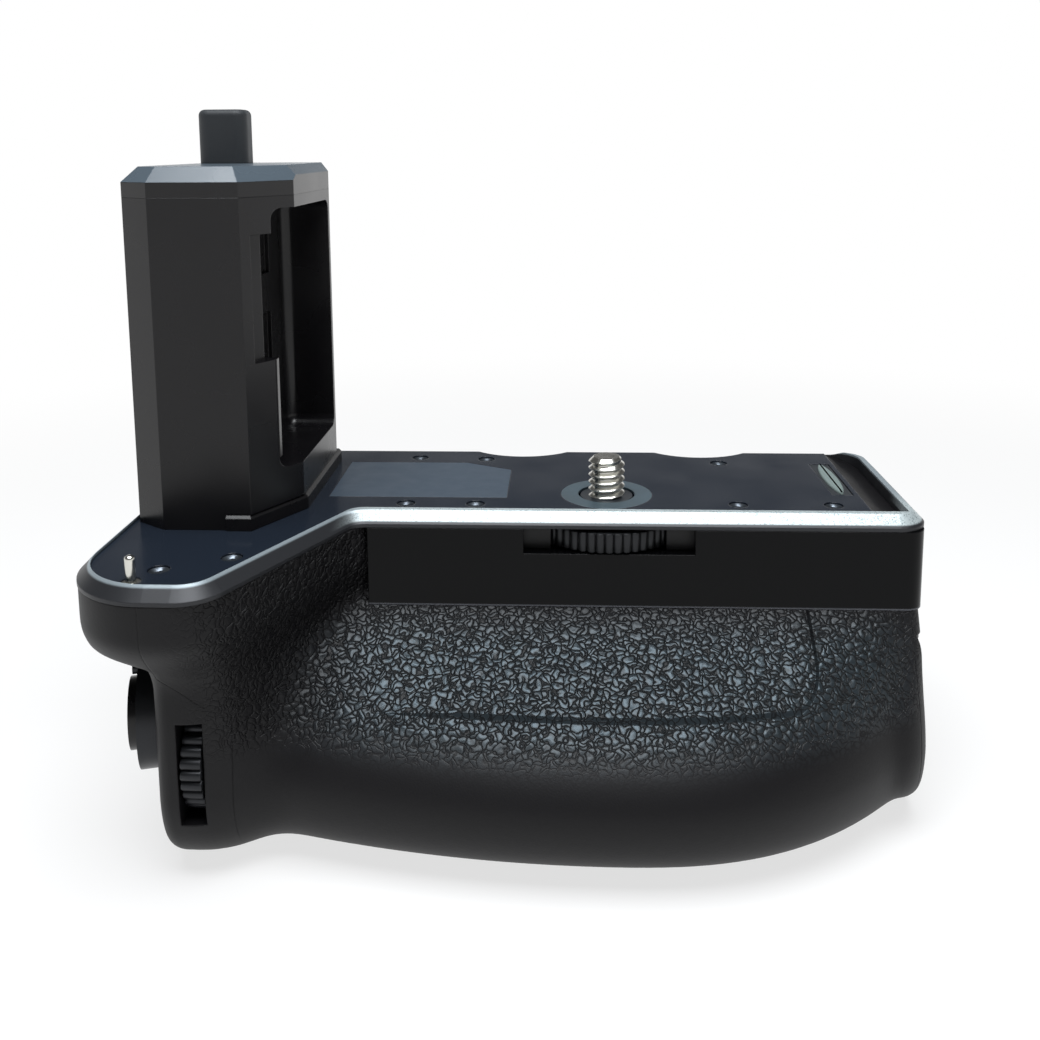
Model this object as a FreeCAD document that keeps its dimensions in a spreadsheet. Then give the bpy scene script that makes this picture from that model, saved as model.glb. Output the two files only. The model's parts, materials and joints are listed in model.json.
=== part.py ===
import FreeCAD, Part
import math
import os
import re
import Sketcher

# Vertical battery grip for a camera, in millimetres.
# The origin is where the clamp screw's axis meets the deck, +Z points up to the camera,
# +X is the long way and -Y is the side that faces the subject.

V = FreeCAD.Vector
X_AXIS = V(1, 0, 0)
Y_AXIS = V(0, 1, 0)
Z_AXIS = V(0, 0, 1)

doc = FreeCAD.newDocument("camera_hand_grip")
sheet = doc.addObject("Spreadsheet::Sheet", "Sizes")

# Driving dimensions. Sizes to the left of the screw and below the deck are positive numbers.
SIZES = [
    # Deck outline
    ("left_end", 80.4),
    ("right_end", 52.9),
    ("deck_back", 27.0),
    ("wall_front", 12.7),
    ("shoulder_front", 44.8),
    ("shoulder_nose", 58.0),
    ("shoulder_root", 42.6),
    ("shoulder_corner", 14.0),
    ("nose_corner", 7.0),
    ("root_corner", 3.0),
    ("end_corner", 5.0),
    ("back_corner", 6.0),
    ("rim_raise", 0.5),
    ("rim_drop", 2.0),
    ("rim_front_width", 3.1),
    ("rim_side_width", 2.0),
    ("rim_end_width", 2.9),
    ("rim_back_width", 1.2),
    ("rim_bevel", 1.9),
    ("deck_thickness", 2.0),
    ("deck_right", 44.3),
    ("seam", 0.05),
    # Heights below the deck
    ("fascia_drop", 15.6),
    ("shoulder_drop", 12.9),
    ("shoulder_blend", 1.0),
    ("front_blend", 5.5),
    ("body_drop", 49.7),
    ("wall_thickness", 2.2),
    # Sculpted handle
    ("palm_depth", 26.3),
    ("handle_left_reach", 38.2),
    ("handle_left", 68.9),
    ("handle_end_angle", 16.0),
    ("handle_right", 52.0),
    ("handle_widest", 37.7),
    ("base_round", 12.0),
    ("shelf_power", 1.7),
    ("shelf_top_rise", 0.18),
    ("palm_left_run", 49.0),
    ("palm_left_fall", 6.2),
    ("palm_right_run", 41.0),
    ("palm_right_depth", 13.1),
    ("palm_right_power", 2.54),
    ("handle_corner", 3.0),
    ("rear_corner", 1.0),
    ("fascia_corner", 3.0),
    ("end_round", 7.0),
    ("end_round_run", 10.0),
    ("end_skin", 0.6),
    ("finger_recess", 1.1),
    ("finger_left", 39.0),
    ("finger_right", 28.0),
    ("finger_bottom", 26.5),
    ("finger_ramp", 3.0),
    ("flank_blend", 9.0),
    ("form_back", 4.0),
    ("cover_thickness", 1.4),
    ("cover_bottom", 48.0),
    ("cover_left_top", 67.0),
    ("cover_left_low", 57.5),
    ("cover_right", 50.0),
    ("cover_left_run", 8.0),
    ("fascia_thickness", 2.5),
    # Rear of the housing
    ("thumb_rest_reach", 34.7),
    ("thumb_rest_left", 76.0),
    ("thumb_rest_right", 30.0),
    ("thumb_rest_slope", 9.0),
    ("thumb_rest_top", 17.0),
    ("thumb_rest_bottom", 46.5),
    ("thumb_rest_round", 4.0),
    ("thumb_cover_thickness", 1.0),
    ("scallop_depth", 4.5),
    ("scallop_radius", 13.5),
    ("scallop_drop", 4.0),
    ("scallop_left_place", 15.8),
    ("scallop_right_place", 19.4),
    # Battery bay and its tray
    ("battery_length", 51.7),
    ("battery_width", 38.7),
    ("battery_height", 22.7),
    ("battery_gap", 0.4),
    ("tray_floor", 1.0),
    ("tray_wall", 1.4),
    ("tray_gap", 0.3),
    ("contact_room", 0.5),
    ("contact_thickness", 0.4),
    ("contact_width", 8.0),
    ("bay_ceiling_thickness", 1.2),
    ("bay_rear", 25.5),
    ("bay_floor_drop", 45.2),
    ("door_thickness", 4.6),
    ("door_corner", 3.0),
    ("latch_radius", 6.5),
    ("latch_disc", 0.8),
    ("latch_bar_height", 1.2),
    ("latch_bar_width", 2.6),
    ("latch_shaft", 2.0),
    ("latch_gap", 0.3),
    ("latch_arm", 6.5),
    ("latch_arm_thickness", 1.0),
    # Clamp screw and thumbwheel
    ("screw_radius", 3.175),
    ("screw_height", 6.9),
    ("screw_chamfer", 1.0),
    ("screw_collar", 4.6),
    ("wheel_radius", 13.4),
    ("wheel_thickness", 3.4),
    ("wheel_top_drop", 2.6),
    ("wheel_teeth", 54),
    ("wheel_groove", 0.45),
    ("wheel_clearance", 0.6),
    ("wheel_slot_half", 14.3),
    ("wheel_slot_gap", 0.3),
    ("collar_drop", 0.3),
    ("running_gap", 0.05),
    ("bush_radius", 5.5),
    ("chassis_bottom_drop", 9.6),
    ("chassis_left", 57.5),
    ("chassis_rear", 20.0),
    ("flange_drop", 4.6),
    ("ring_plate_radius", 8.0),
    ("ring_plate_hole", 5.0),
    ("ring_plate_thickness", 0.4),
    # Stalk that fills the camera's battery bay
    ("stalk_left", 77.5),
    ("stalk_right", 51.7),
    ("stalk_front", 20.0),
    ("stalk_back", 18.7),
    ("stalk_height", 58.3),
    ("stalk_cap_height", 4.8),
    ("stalk_bevel", 2.4),
    ("stalk_right_bevel", 1.6),
    ("stalk_rear_cut", 2.0),
    ("stalk_left_chamfer", 5.3),
    ("stalk_left_slant", 3.5),
    ("stalk_front_run", 57.8),
    ("stalk_side_start", 9.5),
    ("pocket_floor", 8.4),
    ("pocket_top", 51.5),
    ("pocket_depth", 9.0),
    ("pocket_front", 14.2),
    ("pocket_back", 15.5),
    ("pocket_round", 6.0),
    ("pocket_corner", 2.0),
    ("window_depth", 0.8),
    ("window_half", 6.5),
    ("upper_window_top", 46.0),
    ("upper_window_bottom", 39.0),
    ("lower_window_top", 32.0),
    ("lower_window_bottom", 22.0),
    ("plinth_out", 0.5),
    ("plinth_left", 62.0),
    ("plinth_front", 20.4),
    ("plinth_bevel", 0.5),
    ("recess_top", 2.6),
    ("catch_top", 27.0),
    ("catch_bottom", 10.5),
    ("catch_width", 1.4),
    ("catch_length", 3.4),
    ("notch_top", 47.5),
    ("notch_bottom", 27.0),
    ("notch_depth", 1.6),
    ("notch_start", 2.2),
    ("connector_width", 6.8),
    ("connector_depth", 4.4),
    ("connector_height", 7.4),
    ("connector_x", 69.6),
    ("connector_y", 13.0),
    ("cap_height", 9.7),
    ("cap_wall", 0.9),
    ("cap_gap", 0.15),
    ("cap_round", 2.2),
    ("pin_radius", 0.75),
    ("pin_foot", 1.4),
    ("pin_foot_sink", 0.1),
    ("pin_height", 3.9),
    ("pin_x", 69.3),
    ("pin_y", 40.6),
    # Label, cushion and screws on the deck
    ("label_left", 49.0),
    ("label_right", 17.6),
    ("label_front", 2.6),
    ("label_back", 18.0),
    ("label_thickness", 0.3),
    ("label_notch", 4.4),
    ("cushion_length", 17.4),
    ("cushion_width", 2.6),
    ("cushion_x", 41.6),
    ("cushion_y", 9.4),
    ("cushion_border", 0.6),
    ("cushion_seat", 1.2),
    ("cushion_raise", 0.3),
    ("deck_screw_head", 1.6),
    ("deck_screw_head_height", 0.8),
    ("deck_screw_shank", 0.75),
    ("deck_screw_length", 4.2),
    ("deck_screw_sink", 0.1),
    ("trough_start", 0.2),
    ("trough_end", 1.9),
    ("end_cap_reach", 52.4),
    ("end_cap_corner", 4.0),
    ("end_cap_step", 4.0),
    ("end_cap_thickness", 2.55),
    # On/off ring and shutter button on the slanted end
    ("shutter_setback", 12.2),
    ("shutter_drop", 27.6),
    ("shutter_ring_radius", 8.6),
    ("shutter_ring_hole", 6.2),
    ("shutter_ring_height", 4.8),
    ("shutter_well_depth", 1.6),
    ("shutter_button_radius", 5.6),
    ("shutter_button_start", 0.1),
    ("shutter_button_height", 4.9),
    ("shutter_stem", 2.0),
    ("shutter_stem_length", 3.2),
    ("shutter_hole_depth", 5.7),
    ("shutter_switch_height", 0.8),
    ("ring_tab_radius", 0.9),
    ("ring_tab_height", 1.0),
    # Dials, buttons and joystick
    ("dial_radius", 9.0),
    ("dial_width", 3.2),
    ("dial_ribs", 30),
    ("dial_groove", 0.5),
    ("dial_x", 63.1),
    ("dial_drop", 31.6),
    ("dial_window", 16.5),
    ("dial_side_gap", 0.35),
    ("dial_stand_out", 0.3),
    ("dial_hub", 3.0),
    ("axle_hold", 2.0),
    ("axle_radius", 1.0),
    ("rear_dial_radius", 8.0),
    ("rear_dial_width", 4.0),
    ("rear_dial_x", 69.5),
    ("rear_dial_y", 23.6),
    ("rear_dial_drop", 8.5),
    ("button_radius", 2.9),
    ("button_flange", 3.8),
    ("button_flange_thickness", 1.0),
    ("button_switch", 0.9),
    ("button_raise", 0.9),
    ("button_drop", 9.0),
    ("button_gap", 0.2),
    ("focus_button_x", 52.0),
    ("lock_button_x", 43.0),
    ("custom_button_x", 34.0),
    ("joystick_x", 22.0),
    ("joystick_pivot", 22.6),
    ("joystick_radius", 4.0),
    ("joystick_stem", 1.2),
    ("joystick_hole", 2.6),
    ("joystick_heel", 0.8),
    ("joystick_plate", 0.3),
    ("joystick_cap_start", 28.2),
    ("joystick_cap_height", 2.0),
    ("gimbal_ring", 3.0),
    ("gimbal_hole", 2.0),
    ("gimbal_width", 1.2),
    ("gimbal_pin", 0.5),
    ("gimbal_reach", 4.4),
    ("gimbal_ear", 3.5),
    ("gimbal_ear_half", 1.5),
    ("joystick_base_half", 5.5),
    ("board_thickness", 1.0),
    # Base
    ("base_left", 54.0),
    ("base_front", 10.0),
    ("base_back", 23.5),
    ("base_pad_half", 30.0),
    ("base_pad_front", 8.0),
    ("base_pad_back", 18.0),
    ("base_pad_thickness", 0.5),
    ("tripod_radius", 3.175),
    ("tripod_bush", 5.6),
    ("base_right", 40.0),
    ("base_corner", 4.0),
    ("base_screw_head", 2.2),
    ("base_screw_head_height", 1.2),
    ("base_screw_shank", 1.1),
    ("base_screw_length", 3.4),
    ("base_screw_inset", 4.0),
    ("board_margin", 3.0),
]

# Sizes that follow from the driving ones.
DERIVED = [
    ("slant_run", "=shoulder_nose - shoulder_root"),
    ("slant_rise", "=shoulder_front - wall_front"),
    ("slant_length", "=sqrt(slant_run * slant_run + slant_rise * slant_rise)"),
    ("inner_left", "=left_end - rim_side_width"),
    ("inner_front", "=shoulder_front - rim_side_width"),
    ("inner_wall", "=wall_front - rim_front_width"),
    ("inner_right", "=right_end - rim_end_width"),
    ("inner_back", "=deck_back - rim_back_width"),
    ("inner_nose", "=shoulder_nose + rim_side_width * (slant_rise / slant_length"
                   " - (1 - slant_run / slant_length) * slant_run / slant_rise)"),
    ("inner_root", "=shoulder_nose + rim_side_width * slant_rise / slant_length"
                   " - (slant_rise + rim_front_width - rim_side_width * slant_run / slant_length)"
                   " * slant_run / slant_rise"),
    ("inner_corner", "=shoulder_corner - rim_side_width"),
    ("inner_nose_corner", "=nose_corner - rim_side_width"),
    ("inner_back_corner", "=back_corner - rim_back_width"),
    ("body_top", "=rim_drop + seam"),
    ("bay_top_drop", "=bay_floor_drop - tray_gap - tray_floor - battery_height"
                     " - battery_gap - tray_gap"),
    ("bay_front", "=battery_width + battery_gap - bay_rear + tray_gap"),
    ("door_inner", "=handle_right - door_thickness"),
    ("cell_pitch", "=battery_length + 2 * battery_gap + tray_wall"),
    ("tray_left", "=2 * cell_pitch - door_inner"),
    ("bay_left", "=tray_left + tray_gap + contact_room"),
    ("tray_height", "=battery_height + tray_floor"),
    ("ceiling_top_drop", "=bay_top_drop - bay_ceiling_thickness"),
    ("wheel_bottom_drop", "=wheel_top_drop + wheel_thickness"),
    ("base_drop", "=body_drop + base_pad_thickness"),
    ("inner_rear_wall", "=deck_back - wall_thickness"),
    ("chassis_front", "=wall_front - fascia_thickness - 2 * seam"),
    ("board_front", "=chassis_rear + seam"),
    ("board_rear", "=board_front + board_thickness"),
    ("tray_front", "=bay_front - tray_gap"),
    ("tray_back", "=bay_rear - tray_gap"),
    ("tray_bottom_drop", "=bay_floor_drop - tray_gap"),
    ("latch_y", "=(tray_back - tray_front) / 2"),
    ("latch_drop", "=(tray_bottom_drop + bay_top_drop + tray_gap) / 2"),
    ("latch_recess", "=latch_disc + latch_bar_height + latch_gap / 2"),
    ("cap_bottom", "=stalk_height - stalk_cap_height"),
    ("plinth_height", "=recess_top - seam"),
    ("chamfer_run", "=stalk_front_run - stalk_right"),
    ("cap_left", "=connector_x + connector_width / 2 + cap_gap + cap_wall"),
    ("cap_right", "=connector_x - connector_width / 2 - cap_gap - cap_wall"),
    ("cap_front", "=connector_y - connector_depth / 2 - cap_gap - cap_wall"),
    ("cap_back", "=connector_y + connector_depth / 2 + cap_gap + cap_wall"),
    ("chamfer_rise", "=stalk_front - stalk_side_start"),
    ("flank_run", "=handle_left_reach - handle_corner - form_back"),
    ("dial_y", "=handle_left_reach + dial_stand_out - dial_radius"),
    ("handle_reach", "=bay_front + palm_depth"),
    ("palm_right_fall", "=palm_depth - palm_right_depth"),
    ("shutter_y", "=handle_left_reach - shutter_setback"),
]


def write_sheet():
    for row, (alias, value) in enumerate(SIZES, start=1):
        sheet.set("A%d" % row, str(value))
        sheet.setAlias("A%d" % row, alias)
    for row, (alias, formula) in enumerate(DERIVED, start=1):
        sheet.set("B%d" % row, formula)
        sheet.setAlias("B%d" % row, alias)
    doc.recompute()


write_sheet()
NAMES = {alias for alias, _ in SIZES + DERIVED}


def size(alias):
    """The sheet's value of one size."""
    return float(sheet.get(alias))


def bind(text):
    """An expression in which every size is read from the sheet."""
    return re.sub(r"[a-z_]+", lambda word: "Sizes." + word.group(0), text)


def measure(text):
    """The value of a sum of sizes, such as '-left_end + seam'."""
    total = 0.0
    sign = 1
    for word in text.replace("-", " - ").replace("+", " + ").split():
        if word == "-":
            sign = -1
        elif word == "+":
            sign = 1
        else:
            total += sign * (size(word) if word in NAMES else float(word))
            sign = 1
    return total


def new_body(name):
    body = doc.addObject("PartDesign::Body", name)
    body.Label = name
    return body


def new_sketch(body, name, role="XY_Plane", lift=None):
    """A sketch on one of the body's own origin planes, lifted along the plane's normal."""
    sketch = body.newObject("Sketcher::SketchObject", name)
    plane = [item for item in body.Origin.OriginFeatures if item.Role == role][0]
    sketch.AttachmentSupport = [(plane, "")]
    sketch.MapMode = "FlatFace"
    if lift:
        sketch.setExpression(".AttachmentOffset.Base.z", bind(lift))
    return sketch


def pin_point(sketch, geometry, point, across, along):
    """Hold one point of a sketch at bound distances from the sketch's origin."""
    for kind, text, axis in (("DistanceX", across, -2), ("DistanceY", along, -1)):
        value = measure(text)
        if text == "0":
            sketch.addConstraint(Sketcher.Constraint("PointOnObject", geometry, point, axis))
            continue
        index = sketch.addConstraint(
            Sketcher.Constraint(kind, -1, 1, geometry, point, value))
        sketch.setExpression("Constraints[%d]" % index, bind(text))


def draw_polygon(sketch, corners):
    """A closed outline through bound corners."""
    points = [V(measure(across), measure(along), 0) for across, along in corners]
    first = sketch.GeometryCount
    count = len(points)
    for index in range(count):
        sketch.addGeometry(Part.LineSegment(points[index], points[(index + 1) % count]))
    for index in range(count):
        after = first + (index + 1) % count
        sketch.addConstraint(Sketcher.Constraint("Coincident", first + index, 2, after, 1))
        pin_point(sketch, first + index, 1, *corners[index])


def draw_box(sketch, left, right, low, high):
    draw_polygon(sketch, [(left, low), (right, low), (right, high), (left, high)])


def draw_circle(sketch, across, along, radius):
    middle = V(measure(across), measure(along), 0)
    index = sketch.addGeometry(Part.Circle(middle, Z_AXIS, measure(radius)))
    pin_point(sketch, index, 3, across, along)
    rule = sketch.addConstraint(Sketcher.Constraint("Radius", index, measure(radius)))
    sketch.setExpression("Constraints[%d]" % rule, bind(radius))


def add_pad(body, sketch, length, down=False):
    pad = body.newObject("PartDesign::Pad", sketch.Name + "_pad")
    pad.Profile = sketch
    pad.setExpression("Length", bind(length))
    pad.Reversed = down
    sketch.Visibility = False
    doc.recompute()
    return pad


def add_pocket(body, sketch, length=None, up=False):
    """A pocket along the sketch's normal when up is set, else against it, or through all."""
    before = body.Tip.Shape.Volume
    pocket = body.newObject("PartDesign::Pocket", sketch.Name + "_pocket")
    pocket.Profile = sketch
    if length:
        pocket.setExpression("Length", bind(length))
        pocket.Reversed = up
    else:
        pocket.Type = "ThroughAll"
        pocket.Midplane = True
    doc.recompute()
    if not pocket.Shape.Volume < before - 1e-6:
        raise ValueError("%s cuts nothing" % pocket.Name)
    return pocket


def edge_names(shape, test):
    return ["Edge%d" % (index + 1) for index, edge in enumerate(shape.Edges) if test(edge)]


def upright_at(*places):
    """Tests for an edge along Z that stands at one of the bound places."""
    spots = [(measure(across), measure(along)) for across, along in places]

    def test(edge):
        ends = [vertex.Point for vertex in edge.Vertexes]
        if len(ends) != 2 or abs(ends[0].x - ends[1].x) > 0.01:
            return False
        if abs(ends[0].y - ends[1].y) > 0.01:
            return False
        return any(math.hypot(ends[0].x - x, ends[0].y - y) < 0.05 for x, y in spots)
    return test


def add_fillet(body, radius, test):
    base = body.Tip
    fillet = body.newObject("PartDesign::Fillet", base.Name + "_round")
    fillet.Base = (base, edge_names(base.Shape, test))
    fillet.setExpression("Radius", bind(radius))
    doc.recompute()
    return fillet


def add_chamfer(body, length, test):
    base = body.Tip
    chamfer = body.newObject("PartDesign::Chamfer", base.Name + "_bevel")
    chamfer.Base = (base, edge_names(base.Shape, test))
    chamfer.setExpression("Size", bind(length))
    doc.recompute()
    return chamfer


def box(name, across, along, up):
    """A Part::Box between bound low and high sizes on each axis."""
    item = doc.addObject("Part::Box", name)
    for side, place, (low, high) in (("Length", "x", across), ("Width", "y", along),
                                     ("Height", "z", up)):
        item.setExpression(side, "%s - (%s)" % (bind(high), bind(low)))
        item.setExpression("Placement.Base." + place, bind(low))
    return item


def cylinder(name, radius, length, base=(None, None, None), axis=Z_AXIS):
    """A Part::Cylinder from a bound base point along a row axis."""
    item = doc.addObject("Part::Cylinder", name)
    item.setExpression("Radius", bind(radius))
    item.setExpression("Height", bind(length))
    item.Placement = FreeCAD.Placement(V(), FreeCAD.Rotation(Z_AXIS, axis))
    for place, text in zip("xyz", base):
        if text:
            item.setExpression("Placement.Base." + place, bind(text))
    return item


def joined(name, items):
    item = doc.addObject("Part::MultiFuse", name)
    item.Shapes = items
    item.Label = name
    return item


def minus(name, base, tools):
    """The base with each tool cut away."""
    tool = tools[0]
    if len(tools) > 1:
        tool = joined(name + "_tools", tools)
    item = doc.addObject("Part::Cut", name)
    item.Base = base
    item.Tool = tool
    item.Label = name
    return item


def overlap(name, base, tool):
    item = doc.addObject("Part::Common", name)
    item.Base = base
    item.Tool = tool
    item.Label = name
    return item


def feature(name, shape):
    item = doc.addObject("Part::Feature", name)
    item.Shape = shape
    item.Label = name
    return item


# Sculpted front of the handle: a height field of outlines, one below the other.

LEFT_STEPS = 4
CORNER_STEPS = 7
FRONT_STEPS = 30
END_STEPS = 5
TOP_ROWS = 14
PALM_ROWS = 10
BASE_ROWS = 4


def smooth_step(value, start, end):
    """0 below start, 1 above end, with a soft change between them."""
    share = min(max((value - start) / (end - start), 0.0), 1.0)
    return share * share * (3 - 2 * share)


def smooth_max(one, other, blend):
    """The larger of two values, with a fillet of the blend width where they cross."""
    near = max(blend - abs(one - other), 0.0) / blend
    return max(one, other) + near * near * blend / 4


def blend_sizes(start, end, share):
    return size(start) + (size(end) - size(start)) * share


def shoulder_reach(x, drop):
    """How far the shoulder and the handle's left end stand out."""
    middle = size("shoulder_drop")
    half = size("front_blend")
    recede = smooth_step(drop, middle - half, middle + half)
    reach = blend_sizes("shoulder_front", "handle_left_reach", recede)
    slope = size("slant_rise") / size("slant_run")
    past = x + size("shoulder_nose")
    soft = size("nose_corner") / 2
    if past > soft:
        return reach - slope * past
    if past > -soft:
        return reach - slope * (past + soft) ** 2 / (4 * soft)
    return reach


def palm_reach(x):
    """How far the palm bulge stands out along the handle."""
    full = size("handle_reach")
    if x < 0:
        return full - size("palm_left_fall") * (x / size("palm_left_run")) ** 2
    run = size("palm_right_run")
    return full - size("palm_right_fall") * (x / run) ** size("palm_right_power")


def handle_reach(x, drop):
    """The front of the handle, as a distance in front of the screw's axis."""
    fascia = size("fascia_drop")
    widest = size("handle_widest")
    share = (drop - fascia) / (widest - fascia)
    power = size("shelf_power")
    if share < 0:
        limit = size("shelf_top_rise")
        rise = -limit * math.tanh(-power * share / limit)
    else:
        rise = 1 - (1 - min(share, 1.0)) ** power
    wall = size("wall_front")
    bulge = wall + (palm_reach(x) - wall) * rise
    reach = smooth_max(bulge, shoulder_reach(x, drop), size("flank_blend"))
    ramp = size("finger_ramp")
    left = -size("finger_left")
    right = size("finger_right")
    low = size("finger_bottom")
    across = smooth_step(x, left - ramp, left + ramp) * (1 - smooth_step(x, right - ramp, right + ramp))
    down = smooth_step(drop, fascia, fascia + ramp) * (1 - smooth_step(drop, low - ramp, low))
    reach -= size("finger_recess") * across * down
    round_off = size("base_round")
    below = min(max(drop - widest, 0.0), round_off)
    return reach - round_off + math.sqrt(round_off ** 2 - below ** 2)


def left_side(drop):
    """One outline's left side: its place in front and behind, and its front corner's radius."""
    middle = size("shoulder_drop")
    half = size("shoulder_blend")
    tuck = smooth_step(drop, middle - half, middle + half)
    front = blend_sizes("left_end", "handle_left", tuck)
    lean = math.tan(math.radians(size("handle_end_angle")))
    rear = front + lean * size("flank_run") * tuck
    return -front, -rear, blend_sizes("shoulder_corner", "handle_corner", tuck)


def end_corner(drop):
    """The radius of one outline's right front corner, kept clear of the battery bay."""
    start = size("fascia_drop")
    wanted = blend_sizes("fascia_corner", "end_round",
                         smooth_step(drop, start, start + size("end_round_run")))
    room = handle_reach(size("handle_right") - wanted, drop) - size("bay_front") - size("end_skin")
    return min(wanted, max(room, size("fascia_corner")))


def outline(drop):
    """Points of one outline, from the back of the left side round to the right side."""
    front, rear, corner = left_side(drop)
    back = -size("form_back")
    right = size("handle_right")
    right_corner = end_corner(drop)
    first = front + corner
    last = right - right_corner
    left_y = -handle_reach(first, drop) + corner
    right_y = -handle_reach(last, drop) + right_corner
    points = []
    for step in range(LEFT_STEPS):
        share = step / LEFT_STEPS
        points.append((rear + (front - rear) * share, back + (left_y - back) * share))
    for step in range(CORNER_STEPS):
        turn = math.radians(90 * step / CORNER_STEPS)
        points.append((first - corner * math.cos(turn), left_y - corner * math.sin(turn)))
    for step in range(FRONT_STEPS + 1):
        x = first + (last - first) * step / FRONT_STEPS
        points.append((x, -handle_reach(x, drop)))
    for step in range(1, END_STEPS + 1):
        turn = math.radians(90 * (1 - step / END_STEPS))
        points.append((last + right_corner * math.cos(turn), right_y - right_corner * math.sin(turn)))
    points.append((right, (right_y + back) / 2))
    points.append((right, back))
    return [V(x, y, -drop) for x, y in points]


def outline_drops():
    """The heights of the outlines: even down to the widest part, then round the base."""
    top = size("body_top")
    fascia = size("fascia_drop")
    widest = size("handle_widest")
    drops = [top + (fascia - top) * step / TOP_ROWS for step in range(TOP_ROWS + 1)]
    drops += [fascia + (widest - fascia) * step / PALM_ROWS for step in range(1, PALM_ROWS + 1)]
    for step in range(1, BASE_ROWS + 1):
        drops.append(widest + size("base_round") * math.sin(math.radians(90 * step / BASE_ROWS)))
    return drops


def clamped_knots(count):
    """Even knots for a cubic with that many poles, and how often each one counts."""
    spans = count - 3
    return [float(index) for index in range(spans + 1)], [4] + [1] * (spans - 1) + [4]


def grip_solid():
    """The closed front form: the sculpted skin, and flat faces at the top, below and behind."""
    rows = [outline(drop) for drop in outline_drops()]
    row_knots, row_counts = clamped_knots(len(rows))
    point_knots, point_counts = clamped_knots(len(rows[0]))
    skin = Part.BSplineSurface()
    skin.buildFromPolesMultsKnots(rows, row_counts, point_counts, row_knots, point_knots,
                                  False, False, 3, 3)
    front = skin.toShape()
    level = [edge for edge in front.Edges if edge.BoundBox.ZLength < 1e-6]
    upright = [edge for edge in front.Edges if edge.BoundBox.ZLength > 1.0]
    faces = [front]
    closing = []
    for edge in level:
        ends = [vertex.Point for vertex in edge.Vertexes]
        closing.append(Part.LineSegment(ends[1], ends[0]).toShape())
        faces.append(Part.Face(Part.Wire([edge, closing[-1]])))
    faces.append(Part.Face(Part.Wire(Part.__sortEdges__(upright + closing))))
    solid = Part.Solid(Part.Shell(faces))
    if solid.Volume < 0:
        solid.reverse()
    return solid


def rear_solid():
    """The rear form: the front form's left edge carried straight back, and a flat rear."""
    drops = outline_drops()
    front_y = size("seam") - size("form_back")
    poles = [V(left_side(drop)[1], front_y, -drop) for drop in drops]
    knots, counts = clamped_knots(len(poles))
    curve = Part.BSplineCurve()
    curve.buildFromPolesMultsKnots(poles, counts, knots, False, 3)
    right = size("handle_right")
    corners = [poles[-1], V(right, front_y, -drops[-1]), V(right, front_y, -drops[0]), poles[0]]
    edges = [curve.toShape()]
    for start, end in zip(corners, corners[1:]):
        edges.append(Part.LineSegment(start, end).toShape())
    back = size("deck_back")
    solid = Part.Face(Part.Wire(edges)).extrude(V(0, back - front_y, 0))
    for radius, side in (("rear_corner", -1), ("back_corner", 1)):
        behind = [edge for edge in solid.Edges
                  if edge.BoundBox.YLength < 1e-6 and edge.BoundBox.ZLength > 1.0
                  and edge.BoundBox.YMin > back - 1e-6 and edge.CenterOfMass.x * side > 0]
        solid = solid.makeFillet(size(radius), behind)
    return solid


def prism(name, points, run):
    """A straight prism from a flat outline."""
    return feature(name, Part.Face(Part.makePolygon(points + [points[0]])).extrude(run))


def turned(angle_axis, base, axis):
    return FreeCAD.Placement(base, FreeCAD.Rotation(angle_axis, axis))


# Forms and spaces that several pieces share

grip_form = feature("grip_form", grip_solid())
rear_form = feature("rear_form", rear_solid())
bay_space = box("bay_space", ("-bay_left", "handle_right + 5"), ("-bay_front", "bay_rear"),
                ("-bay_floor_drop", "-ceiling_top_drop"))
front_upper_space = box("front_upper_space",
                        ("-chassis_left - seam", "end_cap_reach - end_cap_thickness"),
                        ("-chassis_front - seam", "0"), ("-ceiling_top_drop - seam", "1"))
rear_upper_space = box("rear_upper_space", ("-chassis_left - seam", "handle_right + 5"),
                       ("-form_back", "inner_rear_wall"), ("-ceiling_top_drop - seam", "1"))
fascia_space = box("fascia_space", ("-shoulder_root + rim_side_width", "handle_right + 5"),
                   ("-2 * wall_front", "0"), ("-fascia_drop", "1"))
base_space = box("base_space", ("-base_left - seam", "base_right + seam"),
                 ("-base_front - seam", "base_back + seam"),
                 ("-body_drop - 1", "-bay_floor_drop + seam"))


def cover_border():
    """The leatherette's border seen from the front, clockwise from its upper left corner."""
    top = size("seam")
    fascia = -size("fascia_drop")
    fascia_left = size("rim_side_width") - size("shoulder_root")
    low = -size("cover_bottom")
    right = size("cover_right")
    upper_left = -size("cover_left_top")
    lower_left = -size("cover_left_low")
    return [(upper_left, top), (fascia_left, top), (fascia_left, fascia), (right, fascia),
            (right, low), (lower_left, low), (lower_left, fascia - size("cover_left_run")),
            (upper_left, fascia)]


def make_cover_space():
    """Where the leatherette lies: in front of the core, inside its border."""
    far = -2 * size("shoulder_front")
    window = prism("cover_window", [V(x, far, z) for x, z in cover_border()], V(0, -far, 0))
    core = feature("grip_core", grip_form.Shape.copy())
    core.Placement = FreeCAD.Placement(V(0, size("cover_thickness"), 0), FreeCAD.Rotation())
    return minus("cover_space", window, [core])


cover_space = make_cover_space()


# Shutter axis: square to the slanted end, through the middle of the button

def shutter_axis():
    turn = math.radians(size("handle_end_angle"))
    return V(-math.cos(turn), -math.sin(turn), 0)


def shutter_foot():
    """Where the shutter axis meets the slanted end."""
    lean = math.tan(math.radians(size("handle_end_angle")))
    y = -size("shutter_y")
    corner_y = size("handle_corner") - size("handle_left_reach")
    return V(-size("handle_left") - lean * (y - corner_y), y, -size("shutter_drop"))


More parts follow.
